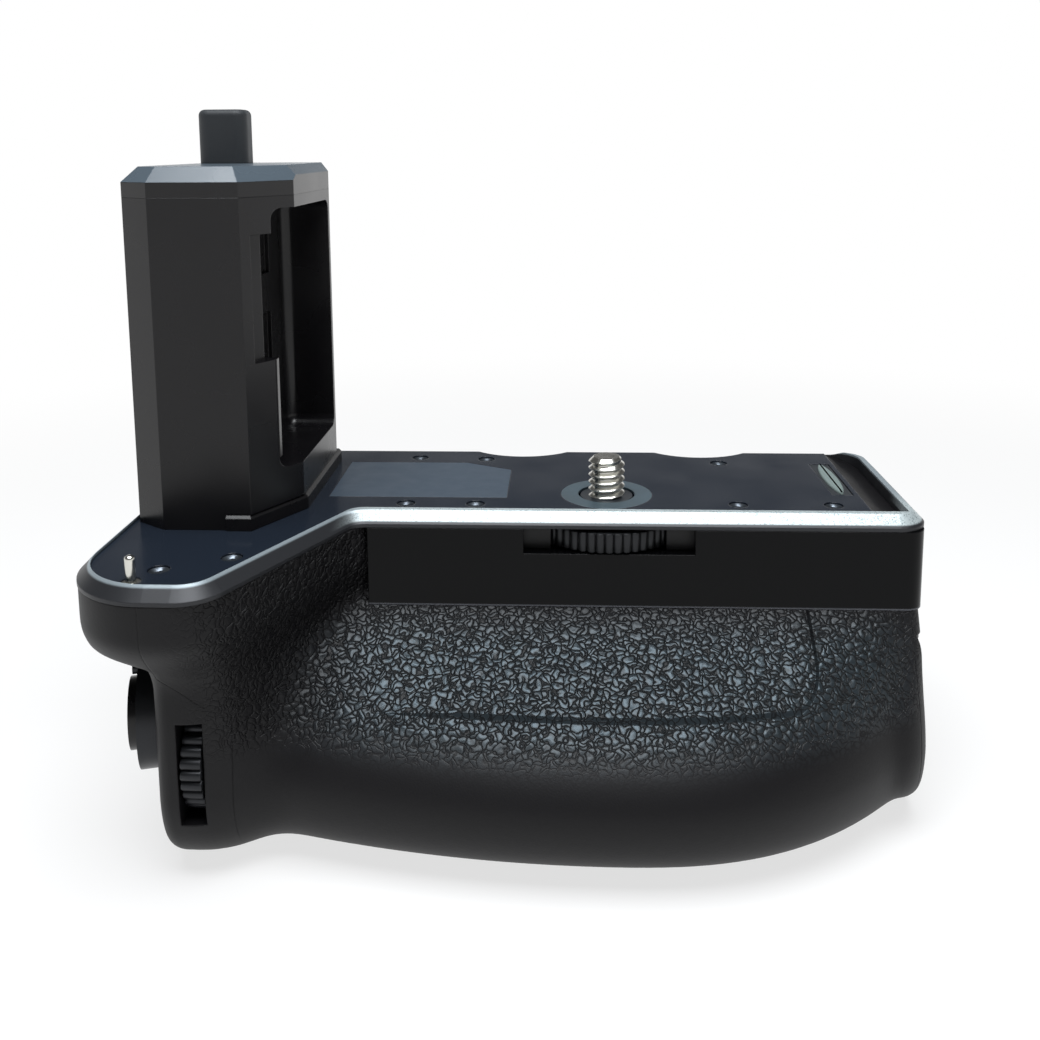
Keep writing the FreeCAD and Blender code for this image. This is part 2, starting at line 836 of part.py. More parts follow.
def on_shutter(name, radius, start, length):
    """A round piece on the shutter axis, with its start measured out from the slanted end."""
    axis = shutter_axis()
    item = cylinder(name, radius, length)
    item.Placement = turned(Z_AXIS, shutter_foot() + axis * measure(start), axis)
    return item


def scallops(name):
    """The two scallops in the rear edge, with a closed floor below the deck."""
    cuts = []
    for side, place in (("left", "-scallop_left_place"), ("right", "scallop_right_place")):
        cuts.append(cylinder("%s_%s_scallop" % (name, side), "scallop_radius", "scallop_drop + 5",
                             (place, "deck_back - scallop_depth + scallop_radius", "-scallop_drop")))
    return cuts


def deck_screw_places():
    return [("-66.9", "-36.2"), ("-57.6", "-31.2"), ("-34.9", "-6.0"), ("-22.8", "-6.0"),
            ("-22.8", "20.6"), ("-36.0", "21.2"), ("22.4", "-5.4"), ("22.4", "18.8"),
            ("38.6", "-5.4")]


def pilot_holes(name):
    """The holes that the deck screws' shanks pass into below the deck."""
    return [cylinder("%s_pilot_%d" % (name, index), "deck_screw_shank + running_gap",
                     "deck_screw_length + seam", (x, y, "-deck_screw_length - seam"))
            for index, (x, y) in enumerate(deck_screw_places())]


def button_places():
    return [("focus_button", "focus_button_x"), ("exposure_lock_button", "lock_button_x"),
            ("custom_button", "custom_button_x")]


# Housing

def make_front_cover():
    skin = overlap("cover_skin", grip_form, cover_space)
    return minus("front_grip_cover", skin, [bay_space, front_upper_space])


def make_front_shell():
    start = "-dial_x - dial_width / 2 - dial_side_gap"
    width = "dial_width + 2 * dial_side_gap"
    well = cylinder("dial_well", "dial_radius + dial_side_gap", width,
                    (start, "-dial_y", "-dial_drop"), X_AXIS)
    window = box("dial_window_cut", (start, "-dial_x + dial_width / 2 + dial_side_gap"),
                 ("-shoulder_front", "-dial_y"),
                 ("-dial_drop - dial_window / 2", "-dial_drop + dial_window / 2"))
    axle = cylinder("front_axle_hole", "axle_radius + running_gap",
                    "dial_width + 2 * dial_side_gap + 2 * axle_hold + 2 * seam",
                    ("-dial_x - dial_width / 2 - dial_side_gap - axle_hold - seam", "-dial_y",
                     "-dial_drop"), X_AXIS)
    ring_well = on_shutter("ring_well", "shutter_ring_radius + dial_side_gap",
                           "-shutter_well_depth", "shutter_ring_radius * 2")
    stem_hole = on_shutter("stem_hole", "shutter_stem + button_gap",
                           "-shutter_hole_depth", "shutter_hole_depth")
    return minus("front_shell", grip_form,
                 [cover_space, fascia_space, front_upper_space, bay_space, base_space, well, window,
                  axle, ring_well, stem_hole] + pilot_holes("shell"))


def make_rear_shell():
    thumb = new_body("thumb_rest")
    sketch = new_sketch(thumb, "thumb_plan", lift="-thumb_rest_bottom")
    face = "thumb_rest_reach - thumb_cover_thickness"
    slope_foot = "-thumb_rest_right - thumb_rest_slope"
    draw_polygon(sketch, [("-thumb_rest_left", "inner_rear_wall"), ("-thumb_rest_left", face),
                          (slope_foot, face), ("-thumb_rest_right", "deck_back"),
                          ("-thumb_rest_right", "inner_rear_wall")])
    add_pad(thumb, sketch, "thumb_rest_bottom - thumb_rest_top")
    far = measure(face)

    def outer(edge):
        return all(vertex.Point.y > far - 0.01 for vertex in edge.Vertexes)
    add_fillet(thumb, "thumb_rest_round", outer)
    housing = joined("rear_housing", [rear_form, thumb])
    cuts = [bay_space, rear_upper_space, base_space] + scallops("shell")
    depth = "wall_thickness + 2"
    for name, place in button_places():
        cuts.append(cylinder(name + "_hole", "button_radius + button_gap", depth,
                             ("-" + place, "inner_rear_wall - 1", "-button_drop"), Y_AXIS))
    cuts.append(cylinder("joystick_opening", "joystick_hole", depth,
                         ("-joystick_x", "inner_rear_wall - 1", "-button_drop"), Y_AXIS))
    cuts.append(cylinder("rear_dial_well", "rear_dial_radius + dial_side_gap",
                         "rear_dial_width + 2 * dial_side_gap",
                         ("-rear_dial_x", "rear_dial_y",
                          "-rear_dial_drop - rear_dial_width / 2 - dial_side_gap")))
    cuts.append(cylinder("rear_axle_hole", "axle_radius + running_gap",
                         "rear_dial_width + 2 * dial_side_gap + 2 * axle_hold + 2 * seam",
                         ("-rear_dial_x", "rear_dial_y",
                          "-rear_dial_drop - rear_dial_width / 2 - dial_side_gap - axle_hold - seam")))
    return minus("rear_shell", housing, cuts)


def make_rear_cover():
    cover = new_body("rear_thumb_cover")
    sketch = new_sketch(cover, "thumb_cover_plan", "XZ_Plane", "-thumb_rest_reach")
    draw_box(sketch, "-thumb_rest_left + thumb_rest_round",
             "-thumb_rest_right - thumb_rest_slope - thumb_rest_round",
             "-thumb_rest_bottom + thumb_rest_round", "-thumb_rest_top - thumb_rest_round")
    add_pad(cover, sketch, "thumb_cover_thickness")
    along_y = edges_along(V(0, 1, 0))
    add_fillet(cover, "thumb_rest_round", along_y)
    return cover


def edges_along(axis):
    """Tests for a straight edge along one axis."""
    def test(edge):
        ends = [vertex.Point for vertex in edge.Vertexes]
        if len(ends) != 2:
            return False
        run = ends[1] - ends[0]
        return run.Length > 0.01 and run.cross(axis).Length < 1e-6 * run.Length
    return test


def make_fascia():
    fascia = new_body("fascia_band")
    plan = new_sketch(fascia, "fascia_plan", lift="-fascia_drop + seam")
    draw_polygon(plan, [("-shoulder_root + rim_side_width + seam", "-wall_front"),
                        ("end_cap_reach", "-wall_front"), ("end_cap_reach", "-form_back - seam"),
                        ("end_cap_reach - fascia_thickness", "-form_back - seam"),
                        ("end_cap_reach - fascia_thickness", "-wall_front + fascia_thickness"),
                        ("-shoulder_root + rim_side_width + seam", "-wall_front + fascia_thickness")])
    add_pad(fascia, plan, "fascia_drop - seam - body_top")
    add_fillet(fascia, "fascia_corner", upright_at(("end_cap_reach", "-wall_front")))
    slot = box("wheel_slot", ("-wheel_slot_half", "wheel_slot_half"),
               ("-wall_front - 1", "-wall_front + fascia_thickness + 1"),
               ("-wheel_bottom_drop - wheel_slot_gap", "0"))
    return minus("front_fascia", fascia, [slot])


def make_chassis():
    chassis = new_body("chassis_frame")
    profile = new_sketch(chassis, "chassis_profile", "YZ_Plane", "-chassis_left")
    draw_polygon(profile, [("-chassis_front", "-body_top"), ("-chassis_front", "-chassis_bottom_drop"),
                           ("chassis_rear", "-chassis_bottom_drop"), ("chassis_rear", "-flange_drop"),
                           ("inner_rear_wall - seam", "-flange_drop"),
                           ("inner_rear_wall - seam", "-body_top")])
    add_pad(chassis, profile, "chassis_left + end_cap_reach - end_cap_thickness - seam")
    wheel_room = cylinder("wheel_room", "wheel_radius + wheel_clearance",
                          "wheel_bottom_drop + wheel_clearance",
                          (None, None, "-wheel_bottom_drop - wheel_clearance"))
    bush_room = cylinder("bush_room", "bush_radius + running_gap", "chassis_bottom_drop + 1",
                         (None, None, "-chassis_bottom_drop - 1"))
    trough_room = box("trough_room", ("deck_right", "handle_right + 5"), ("-wall_front", "deck_back"),
                      ("-end_cap_step - seam", "1"))
    return minus("chassis", chassis,
                 [wheel_room, bush_room, trough_room] + scallops("chassis") + pilot_holes("chassis"))


def make_bush():
    bush = new_body("screw_bush")
    plan = new_sketch(bush, "bush_plan", lift="-chassis_bottom_drop")
    draw_circle(plan, "0", "0", "bush_radius")
    draw_circle(plan, "0", "0", "screw_radius + running_gap")
    add_pad(bush, plan, "chassis_bottom_drop - wheel_bottom_drop - running_gap")
    return bush


def make_end_cap():
    trough = new_body("end_trough")
    profile = new_sketch(trough, "trough_profile", "XZ_Plane", "-inner_back + seam")
    draw_polygon(profile, [("deck_right + seam", "-deck_thickness"),
                           ("deck_right + seam", "-trough_start"),
                           ("inner_right - seam", "-trough_end"),
                           ("inner_right - seam", "-deck_thickness")])
    add_pad(trough, profile, "inner_back + inner_wall - 2 * seam")
    add_fillet(trough, "inner_back_corner", upright_at(("inner_right - seam", "inner_back - seam")))
    wall = new_body("end_wall")
    section = new_sketch(wall, "wall_profile", "XZ_Plane", "-inner_rear_wall + seam")
    inner = "end_cap_reach - end_cap_thickness"
    draw_polygon(section, [("deck_right + seam", "-end_cap_step"), ("deck_right + seam", "-deck_thickness"),
                           ("inner_right - seam", "-deck_thickness"), ("inner_right - seam", "-body_top"),
                           ("end_cap_reach", "-body_top"), ("end_cap_reach", "-ceiling_top_drop + seam"),
                           (inner, "-ceiling_top_drop + seam"), (inner, "-end_cap_step")])
    add_pad(wall, section, "inner_rear_wall - seam + form_back - seam")
    add_fillet(wall, "end_cap_corner", upright_at(("end_cap_reach", "inner_rear_wall - seam")))
    return joined("end_cap", [trough, wall])


def make_ceiling():
    ceiling = new_body("bay_ceiling")
    plan = new_sketch(ceiling, "ceiling_plan", lift="-bay_top_drop")
    draw_box(plan, "-bay_left + seam", "handle_right - seam", "-bay_front + seam", "bay_rear - seam")
    add_pad(ceiling, plan, "bay_ceiling_thickness")
    add_fillet(ceiling, "door_corner", upright_at(("handle_right - seam", "-bay_front + seam")))
    return ceiling


# Deck

def deck_block(name, right, low, height):
    """The outline inside the rim as a block that ends at one place on the right."""
    body = new_body(name)
    plan = new_sketch(body, name + "_plan", lift=low)
    draw_polygon(plan, [("-inner_left", "inner_back"), ("-inner_left", "-inner_front"),
                        ("-inner_nose", "-inner_front"), ("-inner_root", "-inner_wall"),
                        (right, "-inner_wall"), (right, "inner_back")])
    add_pad(body, plan, height)
    add_fillet(body, "inner_corner", upright_at(("-inner_left", "-inner_front")))
    add_fillet(body, "inner_nose_corner", upright_at(("-inner_nose", "-inner_front")))
    add_fillet(body, "root_corner", upright_at(("-inner_root", "-inner_wall")))
    add_fillet(body, "inner_back_corner", upright_at(("-inner_left", "inner_back"),
                                                     ("inner_right", "inner_back")))
    return body


def make_rim():
    rim = new_body("rim_frame")
    outer = new_sketch(rim, "rim_plan", lift="-rim_drop")
    draw_polygon(outer, [("-left_end", "deck_back"), ("-left_end", "-shoulder_front"),
                         ("-shoulder_nose", "-shoulder_front"), ("-shoulder_root", "-wall_front"),
                         ("right_end", "-wall_front"), ("right_end", "deck_back")])
    add_pad(rim, outer, "rim_drop + rim_raise")
    add_fillet(rim, "shoulder_corner", upright_at(("-left_end", "-shoulder_front")))
    add_fillet(rim, "nose_corner", upright_at(("-shoulder_nose", "-shoulder_front")))
    add_fillet(rim, "back_corner", upright_at(("-left_end", "deck_back"), ("right_end", "deck_back")))
    add_fillet(rim, "end_corner", upright_at(("right_end", "-wall_front")))
    add_fillet(rim, "root_corner", upright_at(("-shoulder_root", "-wall_front")))
    crest = size("rim_raise")

    def at_top(edge):
        return all(vertex.Point.z > crest - 0.01 for vertex in edge.Vertexes)
    add_chamfer(rim, "rim_bevel", at_top)
    opening = deck_block("rim_opening", "inner_right", "-rim_drop - 1", "rim_drop + rim_raise + 2")
    frame = minus("rim_ring", rim, [opening] + scallops("rim"))
    between = box("rear_rim_space", ("-scallop_left_place", "scallop_right_place"),
                  ("inner_back - 1", "deck_back + 1"), ("-rim_drop - 1", "rim_raise + 1"))
    return [minus("deck_rim", frame, [between]), overlap("rear_rim_strip", frame, between)]


def make_deck_plate():
    deck = deck_block("deck_sheet", "deck_right", "-deck_thickness", "deck_thickness")
    cuts = scallops("deck")
    cuts.append(cylinder("screw_opening", "ring_plate_hole", "deck_thickness + 2",
                         (None, None, "-deck_thickness - 1")))
    cuts.append(cylinder("ring_seat", "ring_plate_radius + seam", "ring_plate_thickness + 1",
                         (None, None, "-ring_plate_thickness")))
    cuts.append(cushion_block("cushion_recess", "cushion_border", "1"))
    cuts.append(cylinder("pin_hole", "pin_foot + seam", "deck_thickness + 2",
                         ("-pin_x", "-pin_y", "-deck_thickness - 1")))
    for index, (x, y) in enumerate(deck_screw_places()):
        cuts.append(cylinder("screw_seat_%d" % index, "deck_screw_head + seam", "2",
                             (x, y, "-deck_screw_sink - deck_screw_head_height")))
    label_room = label_block("label_recess", "seam", "2 * label_thickness")
    return minus("deck_plate", deck, cuts + [label_room] + pilot_holes("deck"))


def cushion_block(name, border, top):
    return box(name, ("-%s + cushion_x - cushion_width / 2" % border,
                      "%s + cushion_x + cushion_width / 2" % border),
               ("-%s + cushion_y - cushion_length / 2" % border,
                "%s + cushion_y + cushion_length / 2" % border), ("-cushion_seat", top))


def label_block(name, border, thickness):
    """The label's outline, with one corner cut off beside a screw."""
    body = new_body(name)
    plan = new_sketch(body, name + "_plan", lift="-label_thickness")
    draw_polygon(plan, [("-label_left - " + border, "label_back + " + border),
                        ("-label_left - " + border, "-label_front - " + border),
                        ("-label_right + " + border, "-label_front - " + border),
                        ("-label_right + " + border, "label_back - label_notch + " + border),
                        ("-label_right - label_notch - label_notch + " + border,
                         "label_back + " + border)])
    add_pad(body, plan, thickness)
    return body


def make_label():
    return label_block("label_plate", "0", "label_thickness")


def make_ring_plate():
    ring = new_body("ring_plate")
    plan = new_sketch(ring, "ring_plan", lift="-ring_plate_thickness")
    draw_circle(plan, "0", "0", "ring_plate_radius")
    draw_circle(plan, "0", "0", "ring_plate_hole")
    add_pad(ring, plan, "ring_plate_thickness")
    return ring


def make_deck_screws():
    solids = []
    for index, (x, y) in enumerate(deck_screw_places()):
        head = cylinder("screw_head_%d" % index, "deck_screw_head", "deck_screw_head_height",
                        (x, y, "-deck_screw_sink - deck_screw_head_height"))
        shank = cylinder("screw_shank_%d" % index, "deck_screw_shank", "deck_screw_length - deck_screw_sink",
                         (x, y, "-deck_screw_length"))
        solids.append(joined("deck_screw_%d" % index, [head, shank]))
    return gathered("deck_screws", solids)


def gathered(name, items):
    """Identical fasteners kept as separate solids of one piece."""
    item = doc.addObject("Part::Compound", name)
    item.Links = items
    item.Label = name
    return item


def make_pin():
    pin = new_body("locating_pin")
    foot = new_sketch(pin, "pin_foot_plan", lift="-deck_thickness")
    draw_circle(foot, "-pin_x", "-pin_y", "pin_foot")
    add_pad(pin, foot, "deck_thickness - pin_foot_sink")
    plan = new_sketch(pin, "pin_plan", lift="-pin_foot_sink")
    draw_circle(plan, "-pin_x", "-pin_y", "pin_radius")
    add_pad(pin, plan, "pin_foot_sink + pin_height")
    crown = size("pin_height")

    def top(edge):
        return all(vertex.Point.z > crown - 0.01 for vertex in edge.Vertexes)
    add_fillet(pin, "pin_radius * 0.8", top)
    return pin


# Stalk

def stalk_block(name, low, height):
    body = new_body(name)
    plan = new_sketch(body, name + "_plan", lift=low)
    draw_polygon(plan, [("-stalk_left + stalk_rear_cut", "stalk_back"),
                        ("-stalk_left", "stalk_back - stalk_rear_cut"),
                        ("-stalk_left", "-stalk_front + stalk_left_slant"),
                        ("-stalk_left + stalk_left_chamfer", "-stalk_front"),
                        ("-stalk_front_run", "-stalk_front"), ("-stalk_right", "-stalk_side_start"),
                        ("-stalk_right", "stalk_back - stalk_rear_cut"),
                        ("-stalk_right - stalk_rear_cut", "stalk_back")])
    add_pad(body, plan, height)
    return body


def pocket_block():
    """The storage pocket's space, with its inner and lower edges rounded."""
    block = new_body("pocket_room")
    profile = new_sketch(block, "pocket_profile", "YZ_Plane", "-stalk_right - pocket_depth")
    draw_box(profile, "-pocket_front", "pocket_back", "pocket_floor", "pocket_top")
    add_pad(block, profile, "pocket_depth + 5")
    add_fillet(block, "pocket_corner", edges_along(X_AXIS))
    inner = -size("stalk_right") - size("pocket_depth")
    floor = size("pocket_floor")

    def inner_floor(edge):
        return all(abs(vertex.Point.x - inner) < 0.01 and vertex.Point.z < floor + 0.01
                   for vertex in edge.Vertexes)
    add_fillet(block, "pocket_corner", inner_floor)
    return block


def make_stalk():
    shell = stalk_block("stalk_prism", "0", "cap_bottom")
    inner = "-stalk_right - pocket_depth"
    cuts = [pocket_block()]
    for name in ("upper_window", "lower_window"):
        cuts.append(box(name + "_recess", (inner + " - window_depth", inner + " + 1"),
                        ("-window_half", "window_half"), (name + "_bottom", name + "_top")))
    cuts.append(notch_block())
    cuts.append(box("plinth_room", ("-plinth_left", "-stalk_right + 5"), ("-stalk_front", "stalk_back + 1"),
                    ("-1", "recess_top")))
    return minus("stalk_shell", shell, cuts)


def notch_block():
    """The sunken panel in the slanted front right face."""
    run = size("chamfer_run")
    rise = size("chamfer_rise")
    along = V(run, rise, 0).normalize()
    start = V(-size("stalk_front_run"), -size("stalk_front"), 0) + along * size("notch_start")
    panel = doc.addObject("Part::Box", "notch_room")
    panel.setExpression("Length", bind("stalk_side_start"))
    panel.setExpression("Width", bind("2 * notch_depth"))
    panel.setExpression("Height", bind("notch_top - notch_bottom"))
    out = V(along.y, -along.x, 0) * size("notch_depth")
    low = start + out + V(0, 0, size("notch_bottom"))
    panel.Placement = turned(X_AXIS, low, along)
    return panel


def make_stalk_cap():
    cap = stalk_block("stalk_top_cap", "cap_bottom", "stalk_cap_height")
    crest = size("stalk_height")
    right = -size("stalk_right")
    rear = size("stalk_back") - size("stalk_rear_cut")

    def at_top(edge):
        return all(vertex.Point.z > crest - 0.01 for vertex in edge.Vertexes)

    def front_left(edge):
        spot = edge.CenterOfMass
        return at_top(edge) and spot.x < right - 0.01 and spot.y < rear
    add_chamfer(cap, "stalk_bevel", front_left)
    add_chamfer(cap, "stalk_right_bevel", lambda edge: at_top(edge) and edge.CenterOfMass.x > right - 0.01)
    return cap


def make_plinth():
    plinth = new_body("stalk_plinth")
    plan = new_sketch(plinth, "plinth_plan")
    left = "-plinth_left + seam"
    draw_polygon(plan, [(left, "stalk_back"), (left, "-plinth_front"),
                        ("-stalk_front_run", "-plinth_front"),
                        ("-stalk_right + plinth_out", "-stalk_side_start + plinth_out"),
                        ("-stalk_right + plinth_out", "stalk_back")])
    add_pad(plinth, plan, "plinth_height")
    crest = size("plinth_height")
    outer = -size("stalk_right") + size("plinth_out")

    def top_front(edge):
        middle = edge.valueAt((edge.FirstParameter + edge.LastParameter) / 2)
        if any(vertex.Point.z < crest - 0.01 for vertex in edge.Vertexes):
            return False
        return middle.x > outer - 0.01 or middle.y < -size("stalk_side_start") + 1
    add_chamfer(plinth, "plinth_bevel", top_front)
    return plinth


def make_catch():
    return box("storage_catch", ("-stalk_right - pocket_round", "-stalk_right - pocket_round + catch_length"),
               ("-pocket_front + seam", "-pocket_front + catch_width"), ("catch_bottom", "catch_top"))


def make_connector():
    block = box("connector_core", ("-connector_x - connector_width / 2", "-connector_x + connector_width / 2"),
                ("connector_y - connector_depth / 2", "connector_y + connector_depth / 2"),
                ("stalk_height", "stalk_height + connector_height"))
    slot = box("connector_slot", ("-connector_x - connector_width / 2 + cap_wall",
                                  "-connector_x + connector_width / 2 - cap_wall"),
               ("connector_y - cap_wall", "connector_y + cap_wall"),
               ("stalk_height + connector_height / 2", "stalk_height + connector_height + 1"))
    return minus("connector_block", block, [slot])


def make_contacts():
    return box("connector_contacts", ("-connector_x - connector_width / 2 + 2 * cap_wall",
                                      "-connector_x + connector_width / 2 - 2 * cap_wall"),
               ("connector_y - contact_thickness / 2", "connector_y + contact_thickness / 2"),
               ("stalk_height + connector_height / 2", "stalk_height + connector_height - cap_wall"))


def make_connector_cap():
    cap = new_body("cap_solid")
    plan = new_sketch(cap, "cap_plan", lift="stalk_height")
    draw_polygon(plan, [("-cap_left", "cap_back"), ("-cap_left", "cap_front"),
                        ("-cap_right", "cap_front"), ("-cap_right", "cap_back")])
    add_pad(cap, plan, "cap_height")
    add_fillet(cap, "cap_round", edges_along(Z_AXIS))
    crest = size("stalk_height") + size("cap_height")

    def at_top(edge):
        return all(vertex.Point.z > crest - 0.01 for vertex in edge.Vertexes)
    add_fillet(cap, "cap_round / 2", at_top)
    room = box("cap_room", ("-connector_x - connector_width / 2 - cap_gap",
                            "-connector_x + connector_width / 2 + cap_gap"),
               ("connector_y - connector_depth / 2 - cap_gap", "connector_y + connector_depth / 2 + cap_gap"),
               ("stalk_height - 1", "stalk_height + connector_height + cap_gap"))
    return minus("connector_cap", cap, [room])


# Base

def make_base_plate():
    plate = new_body("base_sheet")
    plan = new_sketch(plate, "base_plan", lift="-body_drop")
    draw_box(plan, "-base_left", "base_right", "-base_front", "base_back")
    add_pad(plate, plan, "body_drop - bay_floor_drop - seam")
    cuts = [cylinder("bush_opening", "tripod_bush + seam", "body_drop", (None, None, "-body_drop - 1"))]
    for index, (x, y) in enumerate(base_screw_places()):
        cuts.append(cylinder("base_seat_%d" % index, "base_screw_head + seam",
                             "base_screw_head_height + 1 + seam", (x, y, "-body_drop - 1")))
        cuts.append(cylinder("base_hole_%d" % index, "base_screw_shank + running_gap",
                             "base_screw_length + seam", (x, y, "-body_drop")))
    return minus("base_plate", plate, cuts)


def base_screw_places():
    left = "-base_left + base_screw_inset"
    right = "base_right - base_screw_inset"
    front = "-base_front + base_screw_inset"
    back = "base_back - base_screw_inset"
    return [(left, front), (left, back), (right, front), (right, back)]


def make_base_screws():
    solids = []
    for index, (x, y) in enumerate(base_screw_places()):
        head = cylinder("base_head_%d" % index, "base_screw_head", "base_screw_head_height",
                        (x, y, "-body_drop"))
        shank = cylinder("base_shank_%d" % index, "base_screw_shank", "base_screw_length",
                         (x, y, "-body_drop"))
        solids.append(joined("base_screw_%d" % index, [head, shank]))
    return gathered("base_screws", solids)


def make_base_pad():
    pad = new_body("base_rubber_pad")
    plan = new_sketch(pad, "pad_plan", lift="-base_drop")
    draw_box(plan, "-base_pad_half", "base_pad_half", "-base_pad_front", "base_pad_back")
    add_pad(pad, plan, "base_pad_thickness")
    add_fillet(pad, "base_corner", edges_along(Z_AXIS))
    hole = new_sketch(pad, "pad_hole", lift="-base_drop")
    draw_circle(hole, "0", "0", "tripod_bush + seam")
    add_pocket(pad, hole)
    return pad


def make_tripod_socket():
    socket = new_body("tripod_socket")
    plan = new_sketch(socket, "socket_plan", lift="-body_drop")
    draw_circle(plan, "0", "0", "tripod_bush")
    draw_circle(plan, "0", "0", "tripod_radius")
    add_pad(socket, plan, "body_drop - bay_floor_drop - seam")
    return socket


# Inside

def make_circuit_board():
    return box("circuit_board", ("-chassis_left + board_margin", "deck_right"),
               ("-chassis_front + board_margin", "chassis_rear - board_margin"),
               ("-ceiling_top_drop + seam", "-ceiling_top_drop + seam + board_thickness"))


def make_switch_board():
    board = box("switch_board_sheet", ("-chassis_left + seam", "-joystick_x + joystick_base_half + 1"),
                ("board_front", "board_rear"), ("-ceiling_top_drop + board_margin", "-flange_drop - seam"))
    domes = [cylinder(name + "_switch", "button_radius", "button_switch",
                      ("-" + place, "board_rear", "-button_drop"), Y_AXIS)
             for name, place in button_places()]
    return joined("rear_switch_board", [board] + domes)


def make_bay_contacts():
    return box("bay_contacts", ("-bay_left + seam", "-bay_left + seam + contact_thickness"),
               ("latch_y - contact_width / 2", "latch_y + contact_width / 2"),
               ("-latch_drop - contact_width / 2", "-latch_drop + contact_width / 2"))


def make_shutter_switch():
    return on_shutter("shutter_switch", "shutter_stem", "-shutter_hole_depth + seam",
                      "shutter_switch_height")


def make_axles():
    front = cylinder("front_dial_axle", "axle_radius", "dial_width + 2 * dial_side_gap + 2 * axle_hold",
                     ("-dial_x - dial_width / 2 - dial_side_gap - axle_hold", "-dial_y", "-dial_drop"),
                     X_AXIS)
    rear = cylinder("rear_dial_axle", "axle_radius",
                    "rear_dial_width + 2 * dial_side_gap + 2 * axle_hold",
                    ("-rear_dial_x", "rear_dial_y",
                     "-rear_dial_drop - rear_dial_width / 2 - dial_side_gap - axle_hold"))
    return [front, rear]


# Clamp screw and thumbwheel

def ribbed_disc(name, radius, width, ribs, groove, bore):
    """A disc with even grooves round its edge and a plain bore, lying on its own plane."""
    disc = new_body(name)
    plan = new_sketch(disc, name + "_plan")
    draw_circle(plan, "0", "0", radius)
    draw_circle(plan, "0", "0", bore)
    add_pad(disc, plan, width)
    cut = new_sketch(disc, name + "_groove")
    outside = radius + " + " + groove
    draw_polygon(cut, [(radius + " - " + groove, "0"), (outside, "-%s - %s" % (groove, groove)),
                       (outside, groove + " + " + groove)])
    pocket = add_pocket(disc, cut)
    pattern = disc.newObject("PartDesign::PolarPattern", name + "_grooves")
    pattern.Originals = [pocket]
    axis = [item for item in disc.Origin.OriginFeatures if item.Role == "Z_Axis"][0]
    pattern.Axis = (axis, [""])
    pattern.Angle = 360
    pattern.setExpression("Occurrences", bind(ribs))
    disc.Tip = pattern
    doc.recompute()
    return disc


def make_thumbwheel():
    wheel = ribbed_disc("thumbwheel", "wheel_radius", "wheel_thickness", "wheel_teeth",
                        "wheel_groove", "screw_radius + running_gap")
    wheel.setExpression(".Placement.Base.z", bind("-wheel_bottom_drop"))
    return wheel


def make_camera_screw():
    screw = new_body("camera_screw")
    profile = new_sketch(screw, "screw_profile", "XZ_Plane")
    draw_polygon(profile, [("0", "-chassis_bottom_drop"), ("screw_radius", "-chassis_bottom_drop"),
                           ("screw_radius", "-wheel_top_drop + seam"),
                           ("screw_collar", "-wheel_top_drop + seam"), ("screw_collar", "-collar_drop"),
                           ("screw_radius", "-collar_drop"),
                           ("screw_radius", "screw_height - screw_chamfer"),
                           ("screw_radius - screw_chamfer", "screw_height"), ("0", "screw_height")])
    turning = screw.newObject("PartDesign::Revolution", "screw_turning")
    turning.Profile = profile
    turning.ReferenceAxis = (profile, ["V_Axis"])
    turning.Angle = 360
    doc.recompute()
    return screw


# On/off ring and shutter button

def make_on_off_ring():
    ring = on_shutter("ring_disc", "shutter_ring_radius", "-shutter_well_depth + running_gap",
                      "shutter_ring_height")
    hole = on_shutter("ring_hole", "shutter_ring_hole", "-shutter_well_depth - 1",
                      "shutter_ring_height + 3")
    tab = on_shutter("ring_tab", "ring_tab_radius", "-shutter_well_depth + running_gap",
                     "shutter_ring_height + ring_tab_height")
    offset = (size("shutter_ring_radius") + size("shutter_ring_hole")) / 2
    tab.Placement.Base = tab.Placement.Base + V(0, 0, offset)
    return joined("on_off_ring", [minus("plain_ring", ring, [hole]), tab])


def make_shutter_button():
    cap = on_shutter("shutter_disc", "shutter_button_radius", "-shutter_button_start",
                     "shutter_button_height")
    stem = on_shutter("shutter_stem_rod", "shutter_stem", "-shutter_button_start - shutter_stem_length",
                      "shutter_stem_length")
    return joined("shutter_button", [cap, stem])


# Dials, buttons and joystick

def make_front_dial():
    dial = ribbed_disc("front_dial", "dial_radius", "dial_width", "dial_ribs", "dial_groove",
                       "axle_radius + running_gap")
    dial.Placement = turned(Z_AXIS, V(-size("dial_x") - size("dial_width") / 2, -size("dial_y"),
                                      -size("dial_drop")), X_AXIS)
    return dial


def make_rear_dial():
    dial = ribbed_disc("rear_dial", "rear_dial_radius", "rear_dial_width", "dial_ribs", "dial_groove",
                       "axle_radius + running_gap")
    for axis, text in (("x", "-rear_dial_x"), ("y", "rear_dial_y"),
                       ("z", "-rear_dial_drop - rear_dial_width / 2")):
        dial.setExpression(".Placement.Base." + axis, bind(text))
    return dial


def make_buttons():
    buttons = []
    for name, place in button_places():
        cap = cylinder(name + "_cap", "button_radius", "wall_thickness + button_raise + seam",
                       ("-" + place, "inner_rear_wall - seam", "-button_drop"), Y_AXIS)
        flange = cylinder(name + "_flange", "button_flange", "button_flange_thickness",
                          ("-" + place, "inner_rear_wall - seam - button_flange_thickness",
                           "-button_drop"), Y_AXIS)
        buttons.append(joined(name, [cap, flange]))
    return buttons


